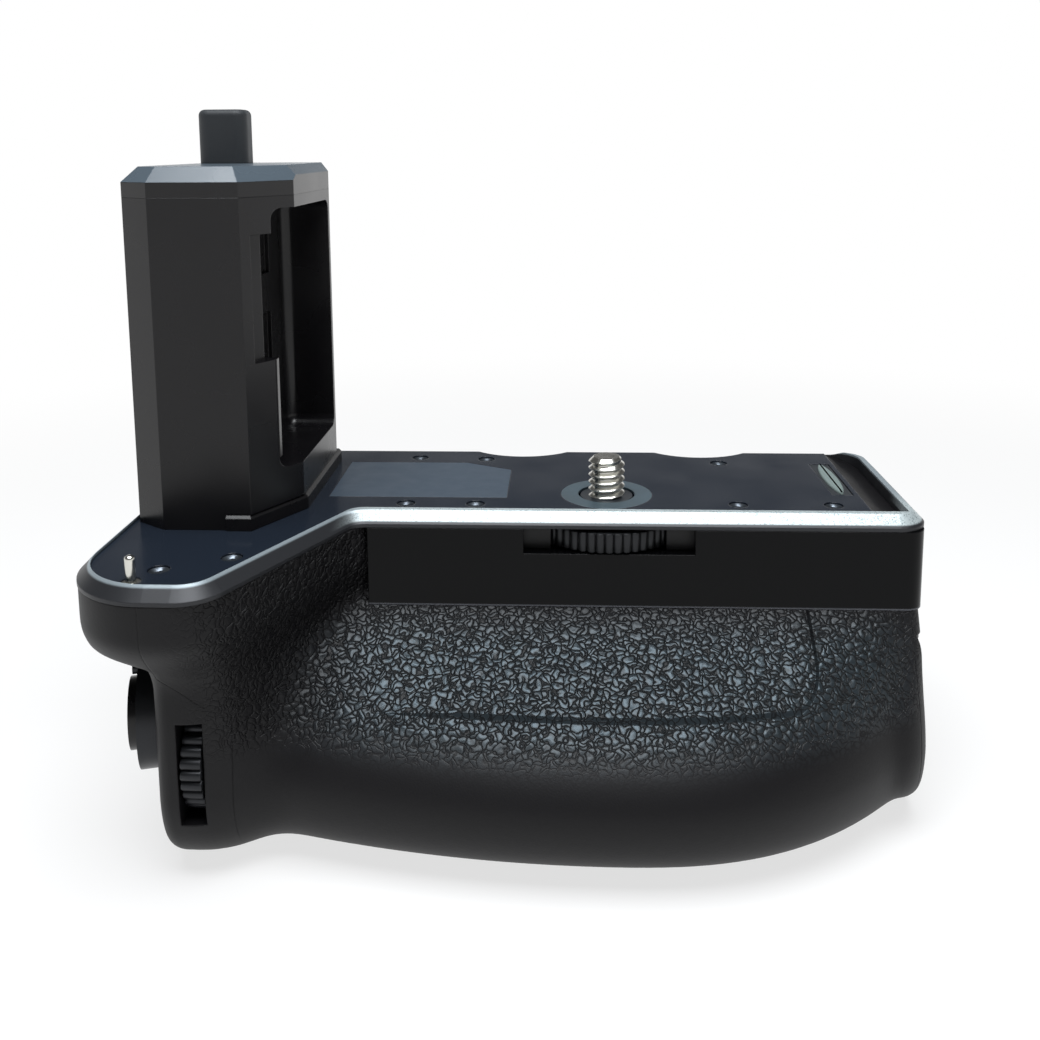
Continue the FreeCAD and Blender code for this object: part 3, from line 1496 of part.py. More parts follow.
def make_joystick():
    middle = ("-joystick_x", None, "-button_drop")
    front = "joystick_pivot - gimbal_width / 2"
    ring = cylinder("gimbal_disc", "gimbal_ring", "gimbal_width", (middle[0], front, middle[2]), Y_AXIS)
    hole = cylinder("gimbal_opening", "gimbal_hole", "gimbal_width + 2",
                    (middle[0], front + " - 1", middle[2]), Y_AXIS)
    pins = cylinder("gimbal_pins", "gimbal_pin", "2 * gimbal_reach",
                    ("-joystick_x - gimbal_reach", "joystick_pivot", "-button_drop"), X_AXIS)
    bearing = cylinder("gimbal_bearing", "gimbal_pin + running_gap", "2 * gimbal_reach",
                       ("-joystick_x", "joystick_pivot", "-button_drop - gimbal_reach"))
    yoke = minus("joystick_yoke", joined("gimbal_frame", [ring, pins]), [hole, bearing])
    stem = cylinder("joystick_rod", "joystick_stem", "joystick_cap_start - joystick_pivot + joystick_heel",
                    (middle[0], "joystick_pivot - joystick_heel", middle[2]), Y_AXIS)
    cross = cylinder("joystick_cross", "gimbal_pin", "2 * gimbal_ring - 2 * seam",
                     ("-joystick_x", "joystick_pivot", "-button_drop - gimbal_ring + seam"))
    head = cylinder("joystick_head", "joystick_radius", "joystick_cap_height",
                    (middle[0], "joystick_cap_start", middle[2]), Y_AXIS)
    cap = joined("joystick_cap", [stem, cross, head])
    half = "joystick_base_half"
    plate = box("joystick_plate", ("-joystick_x - " + half, "-joystick_x + " + half),
                ("board_rear", "board_rear + joystick_plate"),
                ("-button_drop - " + half, "-flange_drop - seam"))
    parts = [plate]
    for side, low, high in (("left", "-joystick_x - gimbal_ear - gimbal_width", "-joystick_x - gimbal_ear"),
                            ("right", "-joystick_x + gimbal_ear", "-joystick_x + gimbal_ear + gimbal_width")):
        parts.append(box("joystick_%s_ear" % side, (low, high),
                         ("board_rear", "joystick_pivot + gimbal_ear_half"),
                         ("-button_drop - gimbal_ear_half", "-button_drop + gimbal_ear_half")))
    holes = cylinder("joystick_bearing", "gimbal_pin + running_gap", "2 * gimbal_reach + 2",
                     ("-joystick_x - gimbal_reach - 1", "joystick_pivot", "-button_drop"), X_AXIS)
    base = minus("joystick_base", joined("joystick_frame", parts), [holes])
    return [base, yoke, cap]


# Battery tray, its door and the latch

def make_tray():
    tray = new_body("tray_tub")
    plan = new_sketch(tray, "tray_plan", lift="-tray_bottom_drop")
    draw_box(plan, "-tray_left", "door_inner - seam", "-tray_front", "tray_back")
    add_pad(tray, plan, "tray_height")
    cuts = []
    for name, left in (("inner", "-tray_left + tray_wall"), ("outer", "-tray_left + tray_wall + cell_pitch")):
        cuts.append(box(name + "_cell", (left, left + " + battery_length + 2 * battery_gap"),
                        ("-tray_front - 1", "tray_back + 1"),
                        ("-tray_bottom_drop + tray_floor", "0")))
    return minus("battery_tray", tray, cuts)


def make_door():
    door = new_body("door_slab")
    plan = new_sketch(door, "door_plan", lift="-tray_bottom_drop")
    draw_box(plan, "door_inner", "handle_right", "-tray_front", "tray_back")
    add_pad(door, plan, "tray_height")
    add_fillet(door, "door_corner", upright_at(("handle_right", "-tray_front")))
    spot = (None, "latch_y", "-latch_drop")
    recess = cylinder("latch_recess_cut", "latch_radius + latch_gap", "latch_recess + 1",
                      ("handle_right - latch_recess",) + spot[1:], X_AXIS)
    shaft = cylinder("latch_shaft_hole", "latch_shaft + running_gap", "door_thickness + 2",
                     ("door_inner - 1",) + spot[1:], X_AXIS)
    arm = cylinder("latch_arm_room", "latch_arm + latch_gap", "latch_arm_thickness + latch_gap + 1",
                   ("door_inner - 1",) + spot[1:], X_AXIS)
    return minus("battery_door", door, [recess, shaft, arm])


def make_latch():
    spot = ("latch_y", "-latch_drop")
    face = "handle_right - latch_recess + seam"
    disc = cylinder("latch_plate", "latch_radius", "latch_disc", (face,) + spot, X_AXIS)
    bar = box("latch_bar", (face, face + " + latch_disc + latch_bar_height"),
              ("latch_y - latch_bar_width / 2", "latch_y + latch_bar_width / 2"),
              ("-latch_drop - latch_radius + latch_disc", "-latch_drop + latch_radius - latch_disc"))
    rod = cylinder("latch_rod", "latch_shaft", "handle_right - latch_recess - door_inner",
                   ("door_inner + seam",) + spot, X_AXIS)
    arm = box("latch_finger", ("door_inner + seam", "door_inner + seam + latch_arm_thickness"),
              ("latch_y - latch_shaft", "latch_y + latch_shaft"),
              ("-latch_drop", "-latch_drop + latch_arm - latch_gap"))
    return joined("turn_latch", [disc, bar, rod, arm])


def make_tray_contacts():
    solids = []
    for name, left in (("inner", "-tray_left + tray_wall"), ("outer", "-tray_left + tray_wall + cell_pitch")):
        solids.append(box(name + "_contact", (left + " + seam", left + " + seam + battery_gap - 2 * seam"),
                          ("latch_y - contact_width / 2", "latch_y + contact_width / 2"),
                          ("-latch_drop - contact_width / 2", "-latch_drop + contact_width / 2")))
    return gathered("tray_contacts", solids)


PIECES = [make_front_cover(), make_front_shell(), make_rear_shell(), make_rear_cover(), make_fascia(),
          make_chassis(), make_bush(), make_end_cap(), make_ceiling(), make_deck_plate(),
          make_label(), cushion_block("cushion_strip", "0", "cushion_raise"), make_ring_plate(),
          make_deck_screws(), make_pin(), make_stalk(), make_stalk_cap(), make_plinth(), make_catch(),
          make_connector(), make_contacts(), make_connector_cap(), make_base_plate(),
          make_base_screws(), make_base_pad(), make_tripod_socket(), make_circuit_board(),
          make_switch_board(), make_bay_contacts(), make_shutter_switch(), make_thumbwheel(),
          make_camera_screw(), make_on_off_ring(), make_shutter_button(), make_front_dial(),
          make_rear_dial(), make_tray(), make_door(), make_latch(), make_tray_contacts()]
PIECES += make_rim() + make_axles() + make_buttons() + make_joystick()


def check_model():
    """Stops the build when any object failed or any piece is not a sound solid."""
    doc.recompute()
    for item in doc.Objects:
        if "Invalid" in item.State or "Error" in item.State:
            raise ValueError("%s did not build" % item.Name)
    for piece in PIECES:
        shape = piece.Shape
        if shape.isNull() or not shape.isValid() or shape.Volume <= 0:
            raise ValueError("%s is not a sound solid" % piece.Label)


def export_pieces():
    os.makedirs("parts", exist_ok=True)
    for piece in PIECES:
        piece.Shape.exportStep("parts/%s.step" % piece.Label)
        solids = len(piece.Shape.Solids)
        facets = len(piece.Shape.tessellate(0.1)[1])
        print("%s: %d solids, %.0f mm3, %d facets" % (piece.Label, solids, piece.Shape.Volume, facets))


check_model()
export_pieces()
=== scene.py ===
import json
import math

import bmesh
import bpy
from bpy.props import FloatProperty, FloatVectorProperty, IntProperty, PointerProperty
from mathutils import Matrix, Vector


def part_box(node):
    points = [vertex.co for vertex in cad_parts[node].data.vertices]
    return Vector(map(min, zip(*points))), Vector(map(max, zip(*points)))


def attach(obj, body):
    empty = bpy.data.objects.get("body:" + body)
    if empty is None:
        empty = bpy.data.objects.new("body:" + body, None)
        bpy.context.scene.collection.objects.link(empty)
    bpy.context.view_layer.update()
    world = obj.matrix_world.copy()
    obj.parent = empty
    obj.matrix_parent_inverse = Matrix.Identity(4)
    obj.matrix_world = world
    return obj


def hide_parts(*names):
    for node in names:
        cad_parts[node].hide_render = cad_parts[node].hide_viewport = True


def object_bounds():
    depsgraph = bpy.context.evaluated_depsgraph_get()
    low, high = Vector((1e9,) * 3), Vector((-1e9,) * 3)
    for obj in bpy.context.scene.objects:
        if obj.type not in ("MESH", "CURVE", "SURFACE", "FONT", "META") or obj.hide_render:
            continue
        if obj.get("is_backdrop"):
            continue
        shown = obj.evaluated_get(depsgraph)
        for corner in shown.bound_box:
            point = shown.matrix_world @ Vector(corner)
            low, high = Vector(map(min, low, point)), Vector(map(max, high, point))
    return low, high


bl_info = {
    "name": "Camera hand grip",
    "version": (1, 0, 0),
    "blender": (4, 5, 0),
    "location": "3D View > Sidebar > Hand grip",
    "description": "Finishes, small pieces and studio for a vertical camera battery grip",
    "category": "Object",
}

MM = 0.001
MERGE_DISTANCE = 0.005 * MM
SMOOTH_LIMIT = math.radians(32)
STEPS_PER_RIB = 10
RIB_EDGE = 0.25 * MM

# Where the leatherette's pebbles and its zone of painted sheen begin and end, in millimetres
PEBBLED = (("X", -66, -50), ("X", 54, 44), ("Z", -32, -26))
PAINTED_SHEEN_ZONE = (("X", -56, -34), ("X", 54, 40), ("Z", -14, -20.5), ("Z", -33, -26))
WHOLE_THUMB = (("Y", -1, 1),)

# Socket places of a colour mix
MIX_FIRST, MIX_SECOND, MIX_RESULT = 6, 7, 2

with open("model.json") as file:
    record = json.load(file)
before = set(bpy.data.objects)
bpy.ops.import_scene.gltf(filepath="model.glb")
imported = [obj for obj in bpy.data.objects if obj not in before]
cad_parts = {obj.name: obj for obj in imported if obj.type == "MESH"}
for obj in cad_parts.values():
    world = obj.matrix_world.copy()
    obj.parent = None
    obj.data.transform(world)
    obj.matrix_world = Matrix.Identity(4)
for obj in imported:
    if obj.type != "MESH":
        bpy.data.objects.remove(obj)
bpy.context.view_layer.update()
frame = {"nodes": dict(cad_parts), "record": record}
MOUNTS = {mount["name"]: mount for mount in frame["record"]["mounts"]}


# Shared steps

def linear(code):
    """An sRGB hex colour as linear red, green and blue."""
    levels = [int(code[place:place + 2], 16) / 255 for place in (1, 3, 5)]
    return [level / 12.92 if level <= 0.04045 else ((level + 0.055) / 1.055) ** 2.4
            for level in levels]


def opaque(color):
    return (*color, 1.0)


def add_node(material, kind, settings=None, links=None):
    """Adds one node. Settings are properties or sockets, links are socket to source."""
    node = material.node_tree.nodes.new(kind)
    for name, value in (settings or {}).items():
        if isinstance(name, str) and hasattr(node, name):
            setattr(node, name, value)
        else:
            node.inputs[name].default_value = value
    for name, source in (links or {}).items():
        material.node_tree.links.new(source, node.inputs[name])
    return node


def start_material(name, settings):
    """A material whose shader has its constants set, with the object coordinates to build on."""
    material = bpy.data.materials.new(name)
    material.use_nodes = True
    shader = material.node_tree.nodes["Principled BSDF"]
    for socket, value in settings.items():
        shader.inputs[socket].default_value = value
    place = add_node(material, "ShaderNodeTexCoord").outputs["Object"]
    return material, shader, place


def connect(material, source, shader, socket):
    material.node_tree.links.new(source, shader.inputs[socket])


def roughen(material, shader, place, grain, low, high):
    """Lets the gloss change over patches of one size, as handling and moulding leave it."""
    patches = add_node(material, "ShaderNodeTexNoise", {"Scale": 1 / grain, "Detail": 3.0},
                       {"Vector": place})
    level = add_node(material, "ShaderNodeMapRange",
                     {"From Min": 0.3, "From Max": 0.7, "To Min": low, "To Max": high},
                     {"Value": patches.outputs["Fac"]})
    connect(material, level.outputs["Result"], shader, "Roughness")


def soften_edges(material, radius):
    """A small rounding on hard edges, which catches the light as a moulded edge does."""
    return add_node(material, "ShaderNodeBevel", {"samples": 4, "Radius": radius})


def add_grain(material, shader, place, grain, depth, edge):
    """Fine grain of one size and depth over softened edges."""
    speck = add_node(material, "ShaderNodeTexNoise", {"Scale": 1 / grain, "Detail": 2.0},
                     {"Vector": place})
    rounding = soften_edges(material, edge)
    bump = add_node(material, "ShaderNodeBump", {"Strength": 1.0, "Distance": depth},
                    {"Height": speck.outputs["Fac"], "Normal": rounding.outputs["Normal"]})
    connect(material, bump.outputs["Normal"], shader, "Normal")


def fade(material, place, limits):
    """A mask that rises from 0 to 1 between two places on each named axis, in millimetres."""
    split = add_node(material, "ShaderNodeSeparateXYZ", {}, {"Vector": place})
    mask = None
    for axis, start, end in limits:
        share = add_node(material, "ShaderNodeMapRange", {
            "interpolation_type": "SMOOTHSTEP", "From Min": start * MM, "From Max": end * MM},
            {"Value": split.outputs[axis]})
        if mask is None:
            mask = share.outputs["Result"]
        else:
            mask = add_node(material, "ShaderNodeMath", {"operation": "MULTIPLY"},
                            {0: mask, 1: share.outputs["Result"]}).outputs["Value"]
    return mask


def seen_rays(material):
    """The rays that see a thing straight, mirrored or through glass, and the mirrored ones."""
    rays = add_node(material, "ShaderNodeLightPath")
    seen = add_node(material, "ShaderNodeMath", {"operation": "MAXIMUM"}, {
        0: rays.outputs["Is Camera Ray"], 1: rays.outputs["Is Glossy Ray"]})
    clear = add_node(material, "ShaderNodeMath", {"operation": "MAXIMUM"}, {
        0: seen.outputs["Value"], 1: rays.outputs["Is Transmission Ray"]})
    return clear.outputs["Value"], rays.outputs["Is Glossy Ray"]


def dress(material, *nodes):
    for name in nodes:
        for place in frame["nodes"][name].material_slots:
            place.material = material


def place_piece(bm, name, body, material, replaced=()):
    """Turns a closed bmesh into a finished piece that rides on its body."""
    bmesh.ops.remove_doubles(bm, verts=bm.verts, dist=MERGE_DISTANCE)
    bmesh.ops.recalc_face_normals(bm, faces=bm.faces)
    mesh = bpy.data.meshes.new(name)
    bm.to_mesh(mesh)
    bm.free()
    mesh.materials.append(material)
    mesh.shade_smooth()
    mesh.set_sharp_from_angle(angle=SMOOTH_LIMIT)
    piece = bpy.data.objects.new(name, mesh)
    bpy.context.scene.collection.objects.link(piece)
    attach(piece, body)
    if replaced:
        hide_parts(*replaced)
    return piece


def new_verts(made):
    return [item for item in made if isinstance(item, bmesh.types.BMVert)]


def middle(node):
    low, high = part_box(node)
    return (low + high) / 2


def span(node):
    low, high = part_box(node)
    return high - low


def turned_to(axis):
    """The turn that takes +Z to an axis."""
    return Vector((0, 0, 1)).rotation_difference(axis).to_matrix().to_4x4()


# Sizes and colours that a user may change

class GripSizes(bpy.types.PropertyGroup):
    thread_pitch: FloatProperty(
        name="Thread pitch", description="Distance from crest to crest on the clamp screw",
        default=1.27 * MM, unit="LENGTH", precision=5)
    thread_depth: FloatProperty(
        name="Thread depth", description="How deep the clamp screw's thread is cut",
        default=0.62 * MM, unit="LENGTH", precision=5)
    dial_ribs: IntProperty(
        name="Dial ribs", description="Ribs round each control dial", default=30, min=12)
    dial_rib_depth: FloatProperty(
        name="Dial rib depth", description="Depth of the grooves between the dials' ribs",
        default=0.75 * MM, unit="LENGTH", precision=5)
    wheel_ribs: IntProperty(
        name="Wheel teeth", description="Teeth round the clamping wheel", default=54, min=20)
    wheel_rib_depth: FloatProperty(
        name="Wheel tooth depth", description="Depth of the grooves in the clamping wheel",
        default=0.5 * MM, unit="LENGTH", precision=5)
    cushion_crown: FloatProperty(
        name="Cushion crown", description="How far the cushion strip's edges are rounded",
        default=0.35 * MM, unit="LENGTH", precision=5)


class GripColours(bpy.types.PropertyGroup):
    moulding: FloatVectorProperty(
        name="Moulded body", description="Black of the moulded body",
        default=linear("#0e0d0f"), subtype="COLOR", size=3)
    # Painted sheen: the pale colour of the pebbles' crowns inside the sheen zone
    leather_crown_sheen: FloatVectorProperty(
        name="Leatherette", description="Raised parts of the wrinkled covering",
        default=linear("#1f2427"), subtype="COLOR", size=3)
    # Painted shade: the dark colour of the creases between the pebbles inside the sheen zone
    leather_crease_shade: FloatVectorProperty(
        name="Leatherette creases", description="Creases of the wrinkled covering",
        default=linear("#090b0d"), subtype="COLOR", size=3)
    deck: FloatVectorProperty(
        name="Deck", description="Slate black of the deck",
        default=linear("#1a2029"), subtype="COLOR", size=3)
    # Painted highlight: this pale colour is the rim's front band where its bevel catches the light
    # overhead
    rim: FloatVectorProperty(
        name="Rim", description="Pale paint of the rim round the deck",
        default=linear("#b6c0c1"), subtype="COLOR", size=3)
    label: FloatVectorProperty(
        name="Plate", description="Bare plate on the deck",
        default=linear("#3c4854"), subtype="COLOR", size=3)
    cushion: FloatVectorProperty(
        name="Cushion", description="Pale strip at the deck's right end",
        default=linear("#7d8a86"), subtype="COLOR", size=3)
    nickel: FloatVectorProperty(
        name="Screw", description="Nickel plating of the clamp screw",
        default=linear("#d3d2cb"), subtype="COLOR", size=3)


class GripStudio(bpy.types.PropertyGroup):
    eye: FloatVectorProperty(
        name="Camera place", description="Where the camera stands", size=3,
        default=(-7.448 * MM, -183.848 * MM, 61.348 * MM), subtype="XYZ", unit="LENGTH",
        precision=5)
    heading: FloatProperty(
        name="Heading", description="Turn of the camera to the left of +Y",
        default=math.radians(2.40), subtype="ANGLE")
    dip: FloatProperty(
        name="Dip", description="How far the camera looks down",
        default=math.radians(8.24), subtype="ANGLE")
    roll: FloatProperty(
        name="Roll", description="Roll of the camera", default=math.radians(-0.33), subtype="ANGLE")
    lens: FloatProperty(name="Lens", description="Focal length in millimetres", default=37.1)
    shift: FloatProperty(
        name="Shift", description="Upward shift of the frame, as a share of its width",
        default=-0.2115)
    softbox_power: FloatProperty(
        name="Softbox", description="Power of the soft light overhead", default=4.2,
        subtype="POWER")
    softbox_size: FloatVectorProperty(
        name="Softbox size", description="Width and depth of the soft light", size=2,
        default=(0.4, 0.3), subtype="XYZ", unit="LENGTH")
    softbox_place: FloatVectorProperty(
        name="Softbox place", description="Where the soft light hangs", size=3,
        default=(-0.02, -0.12, 0.45), subtype="XYZ", unit="LENGTH")
    surround: FloatProperty(
        name="Surround", description="Level of the light that comes from all round", default=0.16)
    floor: FloatVectorProperty(
        name="Floor", description="Pale floor", default=linear("#f2f2f1"), subtype="COLOR", size=3)


# Finishes

def moulded_abs(colours):
    """ABS from a spark-eroded mould: a satin black whose fine grain breaks up highlights."""
    material, shader, place = start_material("spark_grained_abs", {
        "Base Color": opaque(colours.moulding), "IOR": 1.53, "Specular IOR Level": 0.25})
    roughen(material, shader, place, grain=9 * MM, low=0.36, high=0.46)
    add_grain(material, shader, place, grain=0.35 * MM, depth=0.012 * MM, edge=0.25 * MM)
    return material


def satin_abs(colours):
    """ABS from a finely blasted mould: smooth satin faces, as on a battery case."""
    material, shader, place = start_material("satin_moulded_abs", {
        "Base Color": opaque(colours.moulding), "IOR": 1.53, "Specular IOR Level": 0.3})
    roughen(material, shader, place, grain=14 * MM, low=0.22, high=0.32)
    add_grain(material, shader, place, grain=0.5 * MM, depth=0.003 * MM, edge=0.2 * MM)
    return material


def bevelled_abs(colours):
    """The satin ABS of the stalk's cap. Its paler bevels copy how the photo's light falls."""
    material, shader, place = start_material("satin_abs_with_pale_bevels", {
        "IOR": 1.53, "Specular IOR Level": 0.35})
    facing = add_node(material, "ShaderNodeNewGeometry").outputs["Normal"]
    split = add_node(material, "ShaderNodeSeparateXYZ", {}, {"Vector": facing})
    upward = add_node(material, "ShaderNodeMapRange", {
        "interpolation_type": "SMOOTHSTEP", "From Min": 0.2, "From Max": 0.6},
        {"Value": split.outputs["Z"]})
    tone = add_node(material, "ShaderNodeMix", {
        "data_type": "RGBA", MIX_FIRST: opaque(colours.moulding),
        MIX_SECOND: opaque(linear("#48525a"))},
        {0: upward.outputs["Result"]})
    connect(material, tone.outputs[MIX_RESULT], shader, "Base Color")
    roughen(material, shader, place, grain=14 * MM, low=0.22, high=0.32)
    add_grain(material, shader, place, grain=0.5 * MM, depth=0.003 * MM, edge=0.2 * MM)
    return material


def polished_abs():
    """ABS from a polished mould: near black, with a pale line for the lower edge's highlight."""
    material, shader, place = start_material("polished_abs", {
        "IOR": 1.46, "Specular IOR Level": 0.14})
    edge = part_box("front_fascia")[0].z / MM
    tone = add_node(material, "ShaderNodeMix", {
        "data_type": "RGBA", MIX_FIRST: opaque(linear("#050506")),
        MIX_SECOND: opaque(linear("#5a5b60"))},
        {0: fade(material, place, (("Z", edge + 0.4, edge + 0.1),))})
    connect(material, tone.outputs[MIX_RESULT], shader, "Base Color")
    roughen(material, shader, place, grain=18 * MM, low=0.12, high=0.2)
    add_grain(material, shader, place, grain=6 * MM, depth=0.01 * MM, edge=0.25 * MM)
    return material


def lacquered_deck(colours):
    """Lacquered sheet: slate black, with a clear but soft image of what stands on it."""
    material, shader, place = start_material("lacquered_sheet", {
        "Base Color": opaque(colours.deck), "IOR": 1.46, "Specular IOR Level": 0.4})
    roughen(material, shader, place, grain=12 * MM, low=0.14, high=0.24)
    add_grain(material, shader, place, grain=0.4 * MM, depth=0.002 * MM, edge=0.2 * MM)
    return material


def finger_ledge(material, place):
    """A mask that falls to 0 inside the rounded panel pressed in for the fingers."""
    centre = (-13.5 * MM, 0.0, -18.6 * MM)
    half = (46.5 * MM, 1.0, 7.4 * MM)
    corner = 5 * MM
    edge = 0.35 * MM
    moved = add_node(material, "ShaderNodeVectorMath",
                     {"operation": "SUBTRACT", 1: centre}, {0: place})
    folded = add_node(material, "ShaderNodeVectorMath", {"operation": "ABSOLUTE"},
                      {0: moved.outputs["Vector"]})
    past = add_node(material, "ShaderNodeVectorMath",
                    {"operation": "SUBTRACT", 1: tuple(reach - corner for reach in half)},
                    {0: folded.outputs["Vector"]})
    outside = add_node(material, "ShaderNodeVectorMath",
                       {"operation": "MAXIMUM", 1: (0.0, 0.0, 0.0)},
                       {0: past.outputs["Vector"]})
    distance = add_node(material, "ShaderNodeVectorMath", {"operation": "LENGTH"},
                        {0: outside.outputs["Vector"]})
    ledge = add_node(material, "ShaderNodeMapRange", {
        "interpolation_type": "SMOOTHSTEP", "From Min": corner - edge, "From Max": corner + edge},
        {"Value": distance.outputs["Value"]})
    run_out = fade(material, place, (("X", -22, -38),))
    return add_node(material, "ShaderNodeMath", {"operation": "MAXIMUM"},
                    {0: ledge.outputs["Result"], 1: run_out}).outputs["Value"]


def leatherette(name, colours, covered, painted_sheen_zone, pressed_panel):
    """Pebbled soft PVC leatherette. Its bright zone copies how light falls in the photo."""
    material, shader, place = start_material(name, {"IOR": 1.55})
    pebble = 1.15 * MM
    wander = 1.8 * MM
    relief = 0.17 * MM
    dome_share, panel_share, speck_share = -1.3, 7.5, 0.12
    drift = add_node(material, "ShaderNodeTexNoise", {"Scale": 1 / (1.4 * MM), "Detail": 0.0},
                     {"Vector": place})
    bent = add_node(material, "ShaderNodeVectorMath",
                    {"operation": "MULTIPLY_ADD", 1: (wander, wander, wander)},
                    {0: drift.outputs["Color"], 2: place})
    domes = add_node(material, "ShaderNodeTexVoronoi",
                     {"feature": "SMOOTH_F1", "Scale": 1 / pebble, "Smoothness": 0.15},
                     {"Vector": bent.outputs["Vector"]})
    cells = add_node(material, "ShaderNodeTexVoronoi",
                     {"feature": "DISTANCE_TO_EDGE", "Scale": 1 / pebble},
                     {"Vector": bent.outputs["Vector"]})
    islands = add_node(material, "ShaderNodeMapRange", {
        "interpolation_type": "SMOOTHSTEP", "From Min": 0.0, "From Max": 0.13},
        {"Value": cells.outputs["Distance"]})
    pillow = add_node(material, "ShaderNodeMath", {"operation": "MULTIPLY_ADD", 1: dome_share},
                      {0: domes.outputs["Distance"], 2: islands.outputs["Result"]})
    cover = fade(material, place, covered)
    wrinkled = add_node(material, "ShaderNodeMath", {"operation": "MULTIPLY"},
                        {0: pillow.outputs["Value"], 1: cover})
    if pressed_panel:
        wrinkled = add_node(material, "ShaderNodeMath",
                            {"operation": "MULTIPLY_ADD", 1: panel_share},
                            {0: finger_ledge(material, place), 2: wrinkled.outputs["Value"]})
    speck = add_node(material, "ShaderNodeTexNoise", {"Scale": 1 / (0.3 * MM), "Detail": 2.0},
                     {"Vector": place})
    height = add_node(material, "ShaderNodeMath", {"operation": "MULTIPLY_ADD", 1: speck_share},
                      {0: speck.outputs["Fac"], 2: wrinkled.outputs["Value"]})
    rounding = soften_edges(material, 0.4 * MM)
    bump = add_node(material, "ShaderNodeBump", {"Strength": 1.0, "Distance": relief},
                    {"Height": height.outputs["Value"], "Normal": rounding.outputs["Normal"]})
    connect(material, bump.outputs["Normal"], shader, "Normal")
    # Painted sheen and shade: pale pebble crowns with dark creases between them
    crown_sheen_and_crease_shade = add_node(material, "ShaderNodeMix", {
        "data_type": "RGBA", MIX_FIRST: opaque(colours.leather_crease_shade),
        MIX_SECOND: opaque(colours.leather_crown_sheen)},
        {0: islands.outputs["Result"]})
    crowns = add_node(material, "ShaderNodeMapRange", {
        "interpolation_type": "SMOOTHSTEP", "From Min": 0.0, "From Max": 0.3},
        {"Value": cells.outputs["Distance"]})
    # The zone where the sheen and crease shade are painted; outside it the covering keeps the
    # moulded black
    sheen_zone_mask = fade(material, place, painted_sheen_zone)
    tone = add_node(material, "ShaderNodeMix", {
        "data_type": "RGBA", MIX_FIRST: opaque(colours.moulding)},
        {0: sheen_zone_mask, MIX_SECOND: crown_sheen_and_crease_shade.outputs[MIX_RESULT]})
    connect(material, tone.outputs[MIX_RESULT], shader, "Base Color")
    sheen = add_node(material, "ShaderNodeMath", {"operation": "MULTIPLY"},
                     {0: crowns.outputs["Result"], 1: sheen_zone_mask})
    # Painted reflection: a pale blue tint on the crowns' highlights inside the zone
    blue_sheen_tint = add_node(material, "ShaderNodeMix", {
        "data_type": "RGBA", MIX_FIRST: (1, 1, 1, 1), MIX_SECOND: opaque(linear("#c2d6e2"))},
        {0: sheen.outputs["Value"]})
    connect(material, blue_sheen_tint.outputs[MIX_RESULT], shader, "Specular Tint")
    gloss = add_node(material, "ShaderNodeMapRange", {"To Min": 0.5, "To Max": 0.38},
                     {"Value": sheen.outputs["Value"]})
    connect(material, gloss.outputs["Result"], shader, "Roughness")
    shine = add_node(material, "ShaderNodeMapRange", {"To Min": 0.2, "To Max": 0.62},
                     {"Value": sheen.outputs["Value"]})
    connect(material, shine.outputs["Result"], shader, "Specular IOR Level")
    return material


def rim_paint(colours):
    """Metallic paint on a cast rim. Its pale front and dark shoulder copy the photo's light."""
    material, shader, place = start_material("speckled_metallic_paint", {
        "Metallic": 0.35, "Roughness": 0.42})
    grit = add_node(material, "ShaderNodeTexNoise", {"Scale": 1 / (0.22 * MM), "Detail": 1.0},
                    {"Vector": place})
    specks = add_node(material, "ShaderNodeMapRange",
                      {"From Min": 0.36, "From Max": 0.46}, {"Value": grit.outputs["Fac"]})
    # Painted highlight for the front band, with a fine grey speckle in it
    speckled_highlight = add_node(material, "ShaderNodeMix", {
        "data_type": "RGBA", MIX_FIRST: opaque(linear("#7d888a")), MIX_SECOND: opaque(colours.rim)},
        {0: specks.outputs["Result"]})
    # The dark rim, with a thin painted highlight along its top edge
    dark = add_node(material, "ShaderNodeMix", {
        "data_type": "RGBA", MIX_FIRST: opaque(linear("#27282b")),
        MIX_SECOND: opaque(linear("#8b959a"))},
        {0: fade(material, place, (("Z", 0.0, 0.3),))})
    # Where the front highlight is painted: the upper part of the front band, round to the right
    # corner
    front_highlight_mask = fade(material, place, (("X", -46, -39), ("Y", 2, -8), ("Z", -1.15, -0.85)))
    tone = add_node(material, "ShaderNodeMix", {"data_type": "RGBA"}, {
        0: front_highlight_mask, MIX_FIRST: dark.outputs[MIX_RESULT], MIX_SECOND: speckled_highlight.outputs[MIX_RESULT]})
    connect(material, tone.outputs[MIX_RESULT], shader, "Base Color")
    add_grain(material, shader, place, grain=0.3 * MM, depth=0.005 * MM, edge=0.2 * MM)
    return material


def anodised(name, code, metallic, low, high):
    """Anodised aluminium: a dull, even metal sheen with a faint blasted grain."""
    material, shader, place = start_material(name, {
        "Base Color": opaque(linear(code)), "Metallic": metallic})
    roughen(material, shader, place, grain=5 * MM, low=low, high=high)
    add_grain(material, shader, place, grain=0.3 * MM, depth=0.006 * MM, edge=0.12 * MM)
    return material


def slate_plate(colours):
    """Thin anodised plate, left bare: slate grey, a little paler than the deck."""
    material, shader, place = start_material("anodised_slate_plate", {
        "Base Color": opaque(colours.label), "Metallic": 0.2})
    roughen(material, shader, place, grain=4 * MM, low=0.38, high=0.5)
    add_grain(material, shader, place, grain=0.3 * MM, depth=0.004 * MM, edge=0.1 * MM)
    return material


